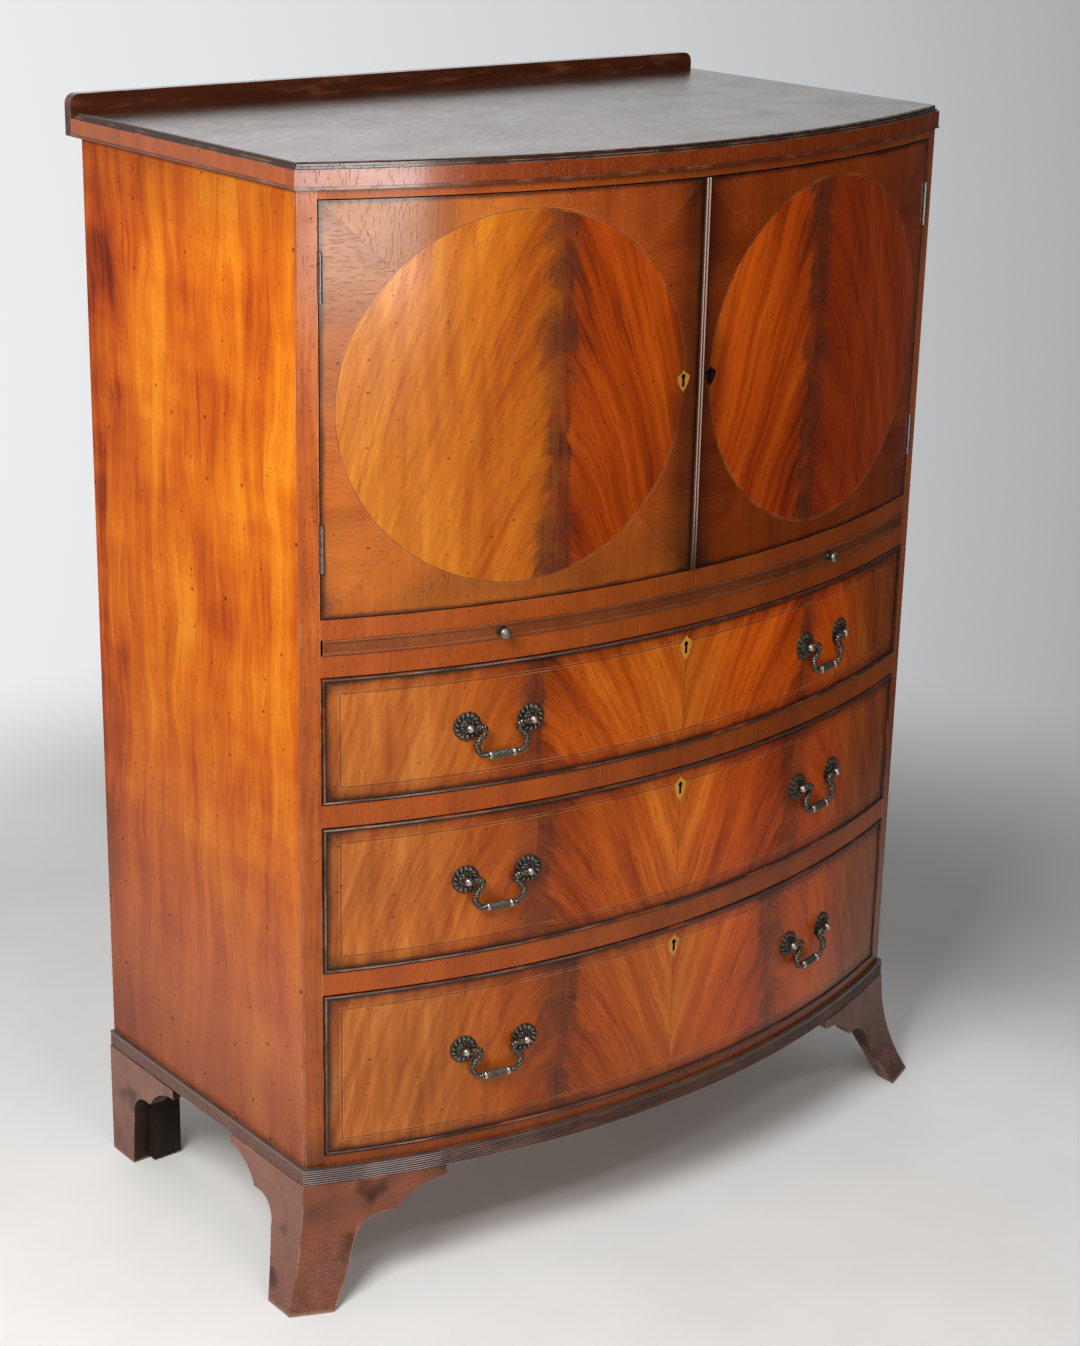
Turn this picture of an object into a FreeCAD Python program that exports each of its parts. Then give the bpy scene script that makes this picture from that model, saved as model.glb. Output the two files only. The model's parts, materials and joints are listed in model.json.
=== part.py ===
import FreeCAD, Part
import math
import os

import Sketcher

# A bow front mahogany cabinet: a pair of doors over a brushing slide over three long drawers,
# on splayed bracket feet, with a low gallery along the back of the top.
# Lengths are in millimetres. X runs across the front, Y from front to back, Z up from the floor.

DRIVING_SIZES = {
    # Carcass
    "width": 840.0,
    "side_depth": 390.0,
    "bow_rise": 89.0,
    "side_thickness": 17.6,
    "lipping_thickness": 4.0,
    "back_thickness": 9.0,
    "back_rebate": 9.0,
    "back_board_gap": 0.6,
    "rail_reach": 45.0,
    "frieze_reach": 30.0,
    "runner_width": 40.0,
    "dust_board_thickness": 7.0,
    "shelf_thickness": 16.0,
    "shelf_setback": 60.0,
    "shelf_share": 0.47,
    "batten_height": 22.0,
    "batten_width": 14.0,
    # Heights, from the floor up
    "foot_height": 132.0,
    "moulding_height": 18.4,
    "bottom_rail_height": 11.7,
    "lower_drawer_height": 183.7,
    "lower_rail_height": 23.5,
    "middle_drawer_height": 159.5,
    "upper_rail_height": 23.5,
    "upper_drawer_height": 133.7,
    "slide_rail_height": 21.7,
    "slide_height": 16.8,
    "floor_thickness": 20.0,
    "door_height": 403.3,
    "frieze_height": 8.8,
    "fascia_height": 18.3,
    "ledge_height": 2.2,
    "lip_height": 4.1,
    "gallery_height": 18.0,
    # Top and gallery
    "top_overhang": 3.0,
    "top_back_overhang": 16.0,
    "string_height": 2.2,
    "string_proud": 0.8,
    "ledge_setback": 2.4,
    "lip_setback": 4.2,
    "lip_round": 1.6,
    "gallery_thickness": 11.5,
    "gallery_round": 11.0,
    # Reeded base moulding
    "moulding_proud": 5.2,
    "moulding_fillet": 3.0,
    "reed_depth_share": 0.3,
    # Bracket feet
    "foot_proud": 6.0,
    "foot_thickness": 20.0,
    "foot_flare": 33.0,
    "bracket_length": 140.0,
    "side_bracket_length": 136.0,
    "bracket_tip": 11.0,
    "cusp_drop": 39.0,
    "cusp_reach": 86.0,
    "step_reach": 76.0,
    "leg_drop": 68.0,
    "front_leg_reach": 38.0,
    "front_toe_reach": 4.0,
    "side_leg_reach": 46.0,
    "side_toe_reach": 15.0,
    "back_leg_reach": 50.0,
    "back_toe_reach": 45.0,
    "brace_length": 110.0,
    "block_width": 36.0,
    "front_block_lift": 92.0,
    "back_block_lift": 3.0,
    # Doors and their hinges
    "door_thickness": 20.0,
    "door_gap": 1.2,
    "meeting_gap": 1.0,
    "closing_bead_width": 7.0,
    "closing_bead_proud": 2.4,
    "hinge_length": 47.0,
    "hinge_inset": 48.0,
    "hinge_proud": 1.0,
    "knuckle_radius": 2.3,
    "knuckle_gap": 0.35,
    "hinge_pin_radius": 1.2,
    "leaf_thickness": 1.2,
    "leaf_width": 15.0,
    "leaf_gap": 0.4,
    # Drawers
    "drawer_gap": 1.0,
    "run_clearance": 0.3,
    "front_thickness": 22.0,
    "bead_width": 3.5,
    "bead_proud": 1.8,
    "bead_crown": 1.4,
    "drawer_side_gap": 1.0,
    "drawer_side_thickness": 10.0,
    "drawer_back_gap": 12.0,
    "drawer_head_room": 8.0,
    "bottom_lift": 12.0,
    "bottom_thickness": 7.0,
    # Brushing slide
    "slide_back_gap": 51.0,
    "slide_edging": 16.0,
    "slide_bead": 3.2,
    "slide_bead_proud": 1.4,
    "slide_knob_reach": 225.0,
    "slide_knob_radius": 6.0,
    "slide_knob_length": 13.0,
    # Locks and keyhole shields
    "shield_width": 16.0,
    "shield_height": 27.5,
    "door_shield_height": 22.0,
    "shield_thickness": 1.6,
    "shield_proud": 0.2,
    "keyhole_drop": 25.0,
    "door_keyhole_reach": 18.5,
    "keyhole_rise": 4.5,
    "keyhole_radius": 2.7,
    "keyhole_slot": 3.2,
    "keyhole_length": 13.5,
    "lock_width": 44.0,
    "lock_height": 32.0,
    "lock_thickness": 10.0,
    "bolt_width": 18.0,
    "bolt_thickness": 5.0,
    "bolt_length": 15.0,
    "bolt_clearance": 0.35,
    "bolt_travel": 9.0,
    # Swan neck handles
    "handle_reach": 226.0,
    "handle_centres": 70.0,
    "rose_radius": 15.2,
    "rose_thickness": 2.0,
    "petal_radius": 3.2,
    "inner_petal_radius": 3.1,
    "inner_petal_place": 6.8,
    "inner_petal_thickness": 3.4,
    "post_radius": 2.9,
    "shank_radius": 2.2,
    "shank_clearance": 0.5,
    "pivot_out": 8.4,
    "ball_radius": 4.5,
    "nut_radius": 6.0,
    "nut_thickness": 4.0,
    "seat_gap": 0.15,
    "wire_radius": 2.9,
    "pivot_pin_radius": 1.8,
    "pivot_clearance": 0.06,
    "pivot_end_gap": 0.8,
    "neck_place": 19.0,
    "elbow_radius": 4.5,
    "swan_radius": 7.2,
    "swan_angle": 58.0,
    "heel_radius": 11.0,
    "grip_radius": 4.3,
    "grip_length": 26.0,
    "collar_radius": 4.7,
    "collar_length": 2.8,
    # What every cut runs past the wood
    "overrun": 6.0,
}

FULL_TURN = 360.0
BACK_BOARD_COUNT = 6
REED_COUNT = 6
KNUCKLE_COUNT = 5
PETAL_COUNT = 14
INNER_PETAL_COUNT = 7
# A drawer's name, the name of its height, and how far up its front the handles hang
DRAWERS = (
    ("lower_drawer", "lower_drawer_height", 0.545),
    ("middle_drawer", "middle_drawer_height", 0.535),
    ("upper_drawer", "upper_drawer_height", 0.51),
)
# The shield's outline from its top point down its right half, in shares of its half width and half height
SHIELD_SHARES = ((0.0, 1.0), (0.4, 0.7), (1.0, 0.46), (0.94, 0.1), (0.78, -0.25), (0.46, -0.64), (0.0, -1.0))


class Size:
    """A size of the sheet, or a formula of such sizes: its number now and its text for the sheet."""

    def __init__(self, value, text):
        self.value = value
        self.text = text

    def __add__(self, other):
        other = as_size(other)
        return Size(self.value + other.value, f"({self.text} + {other.text})")

    def __sub__(self, other):
        other = as_size(other)
        return Size(self.value - other.value, f"({self.text} - {other.text})")

    def __mul__(self, other):
        other = as_size(other)
        return Size(self.value * other.value, f"({self.text} * {other.text})")

    def __truediv__(self, other):
        other = as_size(other)
        return Size(self.value / other.value, f"({self.text} / {other.text})")

    def __neg__(self):
        return Size(-self.value, f"(-1 * {self.text})")


def as_size(value):
    return value if isinstance(value, Size) else Size(value, repr(value))


def root(size):
    return Size(math.sqrt(size.value), f"sqrt({size.text})")


def sine(angle):
    return Size(math.sin(math.radians(angle.value)), f"sin({angle.text})")


def cosine(angle):
    return Size(math.cos(math.radians(angle.value)), f"cos({angle.text})")


def angle_of_sine(ratio):
    return Size(math.degrees(math.asin(ratio.value)), f"asin({ratio.text})")


def larger(first, second):
    return Size(max(first.value, second.value), f"max({first.text}; {second.text})")


class Named:
    """The sheet's sizes by name."""


doc = FreeCAD.newDocument("bow_front_cabinet")
sheet = doc.addObject("Spreadsheet::Sheet", "Sizes")
s = Named()
for row, (size_name, size_value) in enumerate(DRIVING_SIZES.items(), start=1):
    sheet.set(f"A{row}", size_name.replace("_", " "))
    sheet.set(f"B{row}", str(size_value))
    sheet.setAlias(f"B{row}", size_name)
    setattr(s, size_name, Size(size_value, f"Sizes.{size_name}"))
doc.recompute()

ZERO = as_size(0)
HALF_WIDTH = s.width / 2
BOW_RADIUS = (HALF_WIDTH * HALF_WIDTH + s.bow_rise * s.bow_rise) / (s.bow_rise * 2)
# The bow's upright axis lies this far behind the front corners
BOW_AXIS = BOW_RADIUS - s.bow_rise
# Half the opening between the sides, and how far back the carcass is clear
INNER = HALF_WIDTH - s.side_thickness
CLEAR_DEPTH = s.side_depth - s.back_thickness
BACK_REACH = s.side_depth + s.top_back_overhang + s.gallery_thickness
FRONT_REACH = s.bow_rise + larger(s.top_overhang + s.string_proud, s.moulding_proud)
# The part's origin is midway between its foremost and rearmost faces
ORIGIN_SHIFT = (FRONT_REACH - BACK_REACH) / 2

# Levels from the floor up
CARCASS_FOOT = s.foot_height
MOULDING_TOP = s.foot_height + s.moulding_height
LOWER_LEVEL = MOULDING_TOP + s.bottom_rail_height
LOWER_RAIL = LOWER_LEVEL + s.lower_drawer_height
MIDDLE_LEVEL = LOWER_RAIL + s.lower_rail_height
UPPER_RAIL = MIDDLE_LEVEL + s.middle_drawer_height
UPPER_LEVEL = UPPER_RAIL + s.upper_rail_height
SLIDE_RAIL = UPPER_LEVEL + s.upper_drawer_height
SLIDE_LEVEL = SLIDE_RAIL + s.slide_rail_height
FLOOR_LEVEL = SLIDE_LEVEL + s.slide_height
DOOR_LEVEL = FLOOR_LEVEL + s.floor_thickness
FRIEZE_LEVEL = DOOR_LEVEL + s.door_height
FASCIA_LEVEL = FRIEZE_LEVEL + s.frieze_height
LEDGE_LEVEL = FASCIA_LEVEL + s.fascia_height
TOP_LEVEL = LEDGE_LEVEL + s.ledge_height + s.lip_height
CARCASS_HEIGHT = FASCIA_LEVEL - CARCASS_FOOT
DRAWER_LEVELS = {
    "lower_drawer": LOWER_LEVEL,
    "middle_drawer": MIDDLE_LEVEL,
    "upper_drawer": UPPER_LEVEL,
}
# Each front rail: its name, its level, its height, and whether a drawer lock shoots into it
RAILS = (
    ("bottom_rail", CARCASS_FOOT, s.moulding_height + s.bottom_rail_height, False),
    ("lower_rail", LOWER_RAIL, s.lower_rail_height, True),
    ("upper_rail", UPPER_RAIL, s.upper_rail_height, True),
    ("slide_rail", SLIDE_RAIL, s.slide_rail_height, True),
)


def bow_y(x, offset=ZERO):
    """Depth of the bow at a place across the front, on a bow set out by an offset."""
    radius = BOW_RADIUS + offset
    return BOW_AXIS - root(radius * radius - x * x)


def bow_turn(x):
    """Turn of the bow's face at a place across the front."""
    return angle_of_sine(x / BOW_RADIUS)


def origin_plane(body, role):
    return next(feature for feature in body.Origin.OriginFeatures if feature.Role == role)


def vertex_constraints(geometry, end, corner):
    """Hold one corner by its two distances from the sketch's origin."""
    rows = []
    for kind, size, axis in (("DistanceX", corner[0], -2), ("DistanceY", corner[1], -1)):
        size = as_size(size)
        if size.text == ZERO.text:
            rows.append((Sketcher.Constraint("PointOnObject", geometry, end, axis), None))
        else:
            rows.append((Sketcher.Constraint(kind, -1, 1, geometry, end, size.value), size))
    return rows


def arc_between(start, stop, radius, turn):
    """An arc under half a turn from one point to another, turning left or right."""
    chord = stop - start
    across = FreeCAD.Vector(-chord.y, chord.x, 0).normalize()
    side = 1 if turn == "left" else -1
    height = math.sqrt(radius * radius - chord.Length * chord.Length / 4)
    centre = (start + stop) / 2 + across * side * height
    first, last = (start, stop) if turn == "left" else (stop, start)
    angles = [math.atan2(point.y - centre.y, point.x - centre.x) for point in (first, last)]
    return Part.ArcOfCircle(Part.Circle(centre, FreeCAD.Vector(0, 0, 1), radius), *angles)


def add_outline(sketch, corners, closed=True):
    """Straight and round stretches through corners held by the sheet's sizes."""
    points = [FreeCAD.Vector(as_size(corner[0]).value, as_size(corner[1]).value, 0) for corner in corners]
    count = len(corners)
    stretch_count = count if closed else count - 1
    base = sketch.GeometryCount
    geometry = []
    ends = []
    rows = []
    for index in range(stretch_count):
        start = points[index]
        stop = points[(index + 1) % count]
        if len(corners[index]) == 2:
            geometry.append(Part.LineSegment(start, stop))
            ends.append((1, 2))
        else:
            radius, turn = corners[index][2:]
            geometry.append(arc_between(start, stop, radius.value, turn))
            ends.append((1, 2) if turn == "left" else (2, 1))
            rows.append((Sketcher.Constraint("Radius", base + index, radius.value), radius))
        rows += vertex_constraints(base + index, ends[index][0], corners[index])
        if index > 0:
            rows.append((Sketcher.Constraint("Coincident", base + index - 1, ends[index - 1][1],
                                             base + index, ends[index][0]), None))
    last = base + stretch_count - 1
    if closed:
        rows.append((Sketcher.Constraint("Coincident", last, ends[-1][1], base, ends[0][0]), None))
    else:
        rows += vertex_constraints(last, ends[-1][1], corners[-1])
    sketch.addGeometry(geometry)
    bind_constraints(sketch, rows)


def add_circle(sketch, x, y, radius):
    index = sketch.GeometryCount
    centre = FreeCAD.Vector(as_size(x).value, as_size(y).value, 0)
    sketch.addGeometry([Part.Circle(centre, FreeCAD.Vector(0, 0, 1), radius.value)])
    rows = vertex_constraints(index, 3, (x, y))
    rows.append((Sketcher.Constraint("Radius", index, radius.value), radius))
    bind_constraints(sketch, rows)


def bind_constraints(sketch, rows):
    first = sketch.ConstraintCount
    sketch.addConstraint([constraint for constraint, size in rows])
    for index, (constraint, size) in enumerate(rows, start=first):
        if size is not None:
            sketch.setExpression(f"Constraints[{index}]", size.text)


def new_body(name):
    return doc.addObject("PartDesign::Body", name)


def new_sketch(body, name, plane, outlines=(), offset=None):
    sketch = body.newObject("Sketcher::SketchObject", f"{body.Name}_{name}")
    sketch.AttachmentSupport = (origin_plane(body, plane), [""])
    sketch.MapMode = "FlatFace"
    if offset is not None:
        sketch.setExpression("AttachmentOffset.Base.z", offset.text)
    for corners in outlines:
        add_outline(sketch, corners)
    return sketch


def pad(body, name, sketch, length, back=False, both=False):
    feature = body.newObject("PartDesign::Pad", f"{body.Name}_{name}_pad")
    feature.Profile = sketch
    feature.setExpression("Length", length.text)
    feature.Reversed = back
    feature.SideType = "Symmetric" if both else "One side"
    return feature


def pocket(body, name, sketch, depth=None, back=False):
    """Cut an outline to a depth, or with no depth right through the piece both ways."""
    feature = body.newObject("PartDesign::Pocket", f"{body.Name}_{name}_cut")
    feature.Profile = sketch
    feature.Reversed = back
    if depth is None:
        feature.Type = "ThroughAll"
        feature.SideType = "Symmetric"
    else:
        feature.setExpression("Length", depth.text)
    return feature


def revolve(body, name, sketch, angle):
    """Turn an outline about the sketch's upright axis, half the angle to each side."""
    feature = body.newObject("PartDesign::Revolution", f"{body.Name}_{name}_turn")
    feature.Profile = sketch
    feature.ReferenceAxis = (sketch, ["V_Axis"])
    feature.setExpression("Angle", angle.text)
    feature.Midplane = True
    return feature


def place(piece, x=ZERO, y=ZERO, z=ZERO, turn=None):
    """Set a piece in the cabinet: x from the middle, y from the front corners, z from the floor."""
    piece.setExpression("Placement.Base.x", x.text)
    piece.setExpression("Placement.Base.y", (y + ORIGIN_SHIFT).text)
    piece.setExpression("Placement.Base.z", z.text)
    if turn is not None:
        piece.setExpression("Placement.Rotation.Angle", turn.text)
    return piece


def board(name, corners, height, z):
    """A board cut to a plan outline."""
    body = new_body(name)
    pad(body, "plan", new_sketch(body, "plan", "XY_Plane", [corners]), height)
    return place(body, z=z)


def box(name, low, high):
    """A square edged piece between two corners."""
    piece = doc.addObject("Part::Box", name)
    for side, first, last in zip(("Length", "Width", "Height"), low, high):
        piece.setExpression(side, (as_size(last) - first).text)
    return place(piece, *[as_size(size) for size in low])


def rectangle(low_x, low_y, high_x, high_y):
    return [(low_x, low_y), (high_x, low_y), (high_x, high_y), (low_x, high_y)]


def group(name, pieces):
    node = doc.addObject("Part::Compound", name)
    node.Links = pieces
    return node


def mirrored(name, piece):
    """The same piece on the other side of the cabinet."""
    node = doc.addObject("Part::Mirroring", name)
    node.Source = piece
    node.Normal = FreeCAD.Vector(1, 0, 0)
    return node


def bow_board(reach, depth, front=ZERO):
    """Plan of a board with a bow front, from side to side, back to a depth."""
    edge = bow_y(reach, front)
    return [(-reach, edge, BOW_RADIUS + front, "left"), (reach, edge), (reach, depth), (-reach, depth)]


def bow_strip(left, right, front, back):
    """Plan of a bent strip between two places across the front, front and back set out from the bow."""
    return [
        (left, bow_y(left, front), BOW_RADIUS + front, "left"),
        (right, bow_y(right, front)),
        (right, bow_y(right, back), BOW_RADIUS + back, "right"),
        (left, bow_y(left, back)),
    ]


# Carcass


def side_panel():
    edge = bow_y(INNER)
    rebate = HALF_WIDTH - s.back_rebate
    corners = [
        (HALF_WIDTH, s.lipping_thickness),
        (HALF_WIDTH, s.side_depth),
        (rebate, s.side_depth),
        (rebate, CLEAR_DEPTH),
        (INNER, CLEAR_DEPTH),
        (INNER, edge + s.lipping_thickness),
    ]
    return board("right_side", corners, CARCASS_HEIGHT, CARCASS_FOOT)


def cut_knuckle_notches(body, foot):
    """Hollows in a wooden edge that clear the hinge knuckles, above the piece's foot."""
    for name, level in hinge_levels():
        low = level - foot - s.run_clearance
        sketch = new_sketch(body, f"{name}_notch", "XY_Plane", offset=low)
        add_circle(sketch, pin_x(), bow_y(pin_x(), s.hinge_proud), s.knuckle_radius + s.knuckle_gap)
        pocket(body, f"{name}_notch", sketch, s.hinge_length + s.run_clearance * 2, back=True)


def stile():
    edge = bow_y(INNER)
    corners = [
        (INNER, edge, BOW_RADIUS, "left"),
        (HALF_WIDTH, ZERO),
        (HALF_WIDTH, s.lipping_thickness),
        (INNER, edge + s.lipping_thickness),
    ]
    body = board("right_stile", corners, CARCASS_HEIGHT, CARCASS_FOOT)
    cut_knuckle_notches(body, CARCASS_FOOT)
    return body


def top_outline(out):
    """Plan of the top, set out from the carcass at the front and sides."""
    reach = HALF_WIDTH + out
    return bow_board(reach, s.side_depth + s.top_back_overhang, out)


def top_board():
    body = new_body("top_board")
    layers = (
        ("string", s.top_overhang + s.string_proud, ZERO, s.string_height),
        ("fascia", s.top_overhang, s.string_height, s.fascia_height - s.string_height),
        ("ledge", s.top_overhang - s.ledge_setback, s.fascia_height, s.ledge_height),
        ("lip", s.top_overhang - s.lip_setback, s.fascia_height + s.ledge_height, s.lip_height),
    )
    for name, out, level, height in layers:
        pad(body, name, new_sketch(body, name, "XY_Plane", [top_outline(out)], level), height)
    doc.recompute()
    layered = body.Tip
    solid = layered.Shape
    top = solid.BoundBox.ZMax
    back = solid.BoundBox.YMax
    names = []
    for index, edge in enumerate(solid.Edges, start=1):
        box_of_edge = edge.BoundBox
        at_back = box_of_edge.YMin > back - s.overrun.value
        if box_of_edge.ZMin > top - s.lip_round.value and not at_back:
            names.append(f"Edge{index}")
    nosing = body.newObject("PartDesign::Fillet", "top_board_nosing")
    nosing.Base = (layered, names)
    nosing.setExpression("Radius", s.lip_round.text)
    return place(body, z=FASCIA_LEVEL)


def back_gallery():
    body = new_body("back_gallery")
    reach = HALF_WIDTH + s.top_overhang
    height = TOP_LEVEL - FASCIA_LEVEL + s.gallery_height
    shoulder = height - s.gallery_round
    flat = reach - s.gallery_round
    corners = [
        (-reach, ZERO),
        (reach, ZERO),
        (reach, shoulder, s.gallery_round, "left"),
        (flat, height),
        (-flat, height, s.gallery_round, "left"),
        (-reach, shoulder),
    ]
    sketch = new_sketch(body, "face", "XZ_Plane", [corners])
    pad(body, "face", sketch, s.gallery_thickness, back=True)
    return place(body, y=s.side_depth + s.top_back_overhang, z=FASCIA_LEVEL)


def back_boards():
    reach = HALF_WIDTH - s.back_rebate
    pitch = reach * 2 / BACK_BOARD_COUNT
    boards = []
    for index in range(BACK_BOARD_COUNT):
        left = pitch * index - reach
        low = (left + s.back_board_gap / 2, CLEAR_DEPTH, CARCASS_FOOT)
        high = (left + pitch - s.back_board_gap / 2, s.side_depth, FASCIA_LEVEL)
        boards.append(box(f"back_board_{index}", low, high))
    return group("back_boards", boards)


def bolt_place():
    """Depth of the middle of a lock's bolt, in the thickness of a front at its middle."""
    return s.front_thickness - s.bow_rise - s.lock_thickness / 2


def bolt_slot(grow=ZERO):
    """Plan of a drawer lock's bolt, or of the slot round it."""
    half = s.bolt_width / 2 + grow
    deep = s.bolt_thickness / 2 + grow
    return rectangle(-half, bolt_place() - deep, half, bolt_place() + deep)


def drawer_rails():
    rails = []
    for name, level, height, has_mortise in RAILS:
        rail = board(name, bow_board(INNER, s.rail_reach), height, level)
        if has_mortise:
            slot = new_sketch(rail, "mortise", "XY_Plane", [bolt_slot(s.bolt_clearance)])
            pocket(rail, "mortise", slot, s.bolt_travel, back=True)
        rails.append(rail)
    return group("drawer_rails", rails)


def drawer_runners():
    runners = []
    for name, level, height, has_mortise in RAILS:
        low = (INNER - s.runner_width, s.rail_reach, level)
        high = (INNER, CLEAR_DEPTH, level + height)
        runner = box(f"{name}_runner", low, high)
        runners += [runner, mirrored(f"{name}_left_runner", runner)]
    return group("drawer_runners", runners)


def dust_boards():
    boards = []
    reach = INNER - s.runner_width
    for name, level, height, has_mortise in RAILS:
        low = level + (height - s.dust_board_thickness) / 2
        high = low + s.dust_board_thickness
        boards.append(box(f"{name}_dust_board", (-reach, s.rail_reach, low), (reach, CLEAR_DEPTH, high)))
    return group("dust_boards", boards)


def shelf_level():
    return DOOR_LEVEL + s.door_height * s.shelf_share


def shelf_battens():
    level = shelf_level()
    low = (INNER - s.batten_width, s.shelf_setback, level - s.batten_height)
    batten = box("right_batten", low, (INNER, CLEAR_DEPTH, level))
    return group("shelf_battens", [batten, mirrored("left_batten", batten)])


def moulding_section(out):
    """Reeded section of the base moulding, from a back face at a place set by a function."""
    pitch = (s.moulding_height - s.moulding_fillet) / REED_COUNT
    depth = pitch * s.reed_depth_share
    root_depth = s.moulding_proud - depth
    radius = cove_radius(pitch / 2, depth)
    corners = [(out(ZERO), ZERO)]
    for index in range(REED_COUNT):
        corners.append((out(root_depth), pitch * index, radius, "left"))
        corners.append((out(s.moulding_proud), pitch * index + pitch / 2, radius, "left"))
    fillet = s.moulding_height - s.moulding_fillet
    corners.append((out(root_depth), fillet))
    corners.append((out(s.moulding_proud), fillet))
    corners.append((out(s.moulding_proud), s.moulding_height))
    corners.append((out(ZERO), s.moulding_height))
    return corners


def turned_over(corners):
    """The same outline with its first axis reversed, so that its round stretches turn the other way."""
    other = {"left": "right", "right": "left"}
    rows = []
    for corner in corners:
        arc = () if len(corner) == 2 else (corner[2], other[corner[3]])
        rows.append((-corner[0], corner[1]) + arc)
    return rows


def mitre_point(out, axis=ZERO):
    """A point of the corner mitre: as far out from the side as from the bow."""
    reach = HALF_WIDTH + out
    return reach, bow_y(reach, out) - axis


def mitre_corner(near, axis=ZERO):
    """Plan of what a mitred piece loses at the right corner, before or behind the mitre."""
    inner = mitre_point(-(s.foot_thickness + s.overrun), axis)
    outer = mitre_point(s.bow_rise, axis)
    far = -s.bow_rise if near else s.bow_rise
    return [inner, outer, (outer[0], far - axis), (inner[0], far - axis)]


def corner_angle():
    """Turn that carries a bent front piece past the flare at both corners."""
    reach = HALF_WIDTH + s.foot_proud + s.foot_flare + s.overrun
    return angle_of_sine(reach / BOW_RADIUS) * 2


def front_moulding():
    body = new_body("front_moulding")
    corners = turned_over(moulding_section(lambda out: BOW_RADIUS + out))
    revolve(body, "reeds", new_sketch(body, "reeds", "YZ_Plane", [corners]), corner_angle())
    right = mitre_corner(False, BOW_AXIS)
    pocket(body, "mitres", new_sketch(body, "mitres", "XY_Plane", [right, turned_over(right)]))
    return place(body, y=BOW_AXIS, z=CARCASS_FOOT)


def side_moulding():
    body = new_body("right_moulding")
    sketch = new_sketch(body, "reeds", "XZ_Plane", [moulding_section(lambda out: HALF_WIDTH + out)], s.bow_rise)
    pad(body, "reeds", sketch, s.bow_rise + s.side_depth, back=True)
    pocket(body, "mitre", new_sketch(body, "mitre", "XY_Plane", [mitre_corner(True)]))
    return place(body, z=CARCASS_FOOT)


def base_moulding():
    side = side_moulding()
    return group("base_moulding", [front_moulding(), side, mirrored("left_moulding", side)])


# Bracket feet


def flare_radius():
    return (s.foot_height * s.foot_height + s.foot_flare * s.foot_flare) / (s.foot_flare * 2)


def flared_section(out):
    """Upright section of a splayed bracket, sweeping out to the floor, from a place set by a function."""
    outer = flare_radius()
    inner = outer + s.foot_thickness
    toe = s.foot_proud + s.foot_flare
    heel = s.foot_proud + outer - root(inner * inner - s.foot_height * s.foot_height)
    return [
        (out(toe), ZERO, outer, "right"),
        (out(s.foot_proud), s.foot_height),
        (out(s.foot_proud - s.foot_thickness), s.foot_height, inner, "left"),
        (out(heel), ZERO),
    ]


def cove_radius(run, drop):
    """Radius of a cove that starts level and falls by a drop over a run."""
    return (run * run + drop * drop) / (drop * 2)


def bracket_void(length, leg, toe, flared):
    """What the saw takes from under a bracket: a cove, a cusp, a step and the inside of the leg."""
    high = s.foot_height + s.overrun
    tip = s.foot_height - s.bracket_tip
    cusp = s.foot_height - s.cusp_drop
    knee = s.foot_height - s.leg_drop
    far = s.width + s.side_depth
    leg_row = (leg, knee, flare_radius(), "right") if flared else (leg, knee)
    return [
        (length, high),
        (length, tip, cove_radius(length - s.cusp_reach, s.cusp_drop - s.bracket_tip), "left"),
        (s.cusp_reach, cusp),
        (s.step_reach, cusp, cove_radius(s.step_reach - leg, s.leg_drop - s.cusp_drop), "left"),
        leg_row,
        (toe, ZERO),
        (toe, -s.overrun),
        (far, -s.overrun),
        (far, high),
    ]


def shifted(corners, shift):
    return [(corner[0] + shift,) + tuple(corner[1:]) for corner in corners]


def front_bracket():
    body = new_body("front_bracket")
    corners = turned_over(flared_section(lambda out: BOW_RADIUS + out))
    revolve(body, "flare", new_sketch(body, "flare", "YZ_Plane", [corners]), corner_angle())
    void = bracket_void(s.bracket_length, s.front_leg_reach, s.front_toe_reach, True)
    void = shifted(turned_over(void), HALF_WIDTH)
    pocket(body, "bracket", new_sketch(body, "bracket", "XZ_Plane", [void]))
    pocket(body, "mitre", new_sketch(body, "mitre", "XY_Plane", [mitre_corner(False, BOW_AXIS)]))
    return place(body, y=BOW_AXIS)


def side_bracket():
    body = new_body("side_bracket")
    corners = flared_section(lambda out: HALF_WIDTH + out)
    sketch = new_sketch(body, "flare", "XZ_Plane", [corners], s.bow_rise)
    pad(body, "flare", sketch, s.bow_rise + s.side_bracket_length + s.overrun, back=True)
    void = bracket_void(s.side_bracket_length, s.side_leg_reach, s.side_toe_reach, True)
    pocket(body, "bracket", new_sketch(body, "bracket", "YZ_Plane", [void]))
    pocket(body, "mitre", new_sketch(body, "mitre", "XY_Plane", [mitre_corner(True)]))
    return place(body)


def front_foot():
    return group("front_right_foot", [front_bracket(), side_bracket()])


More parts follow.
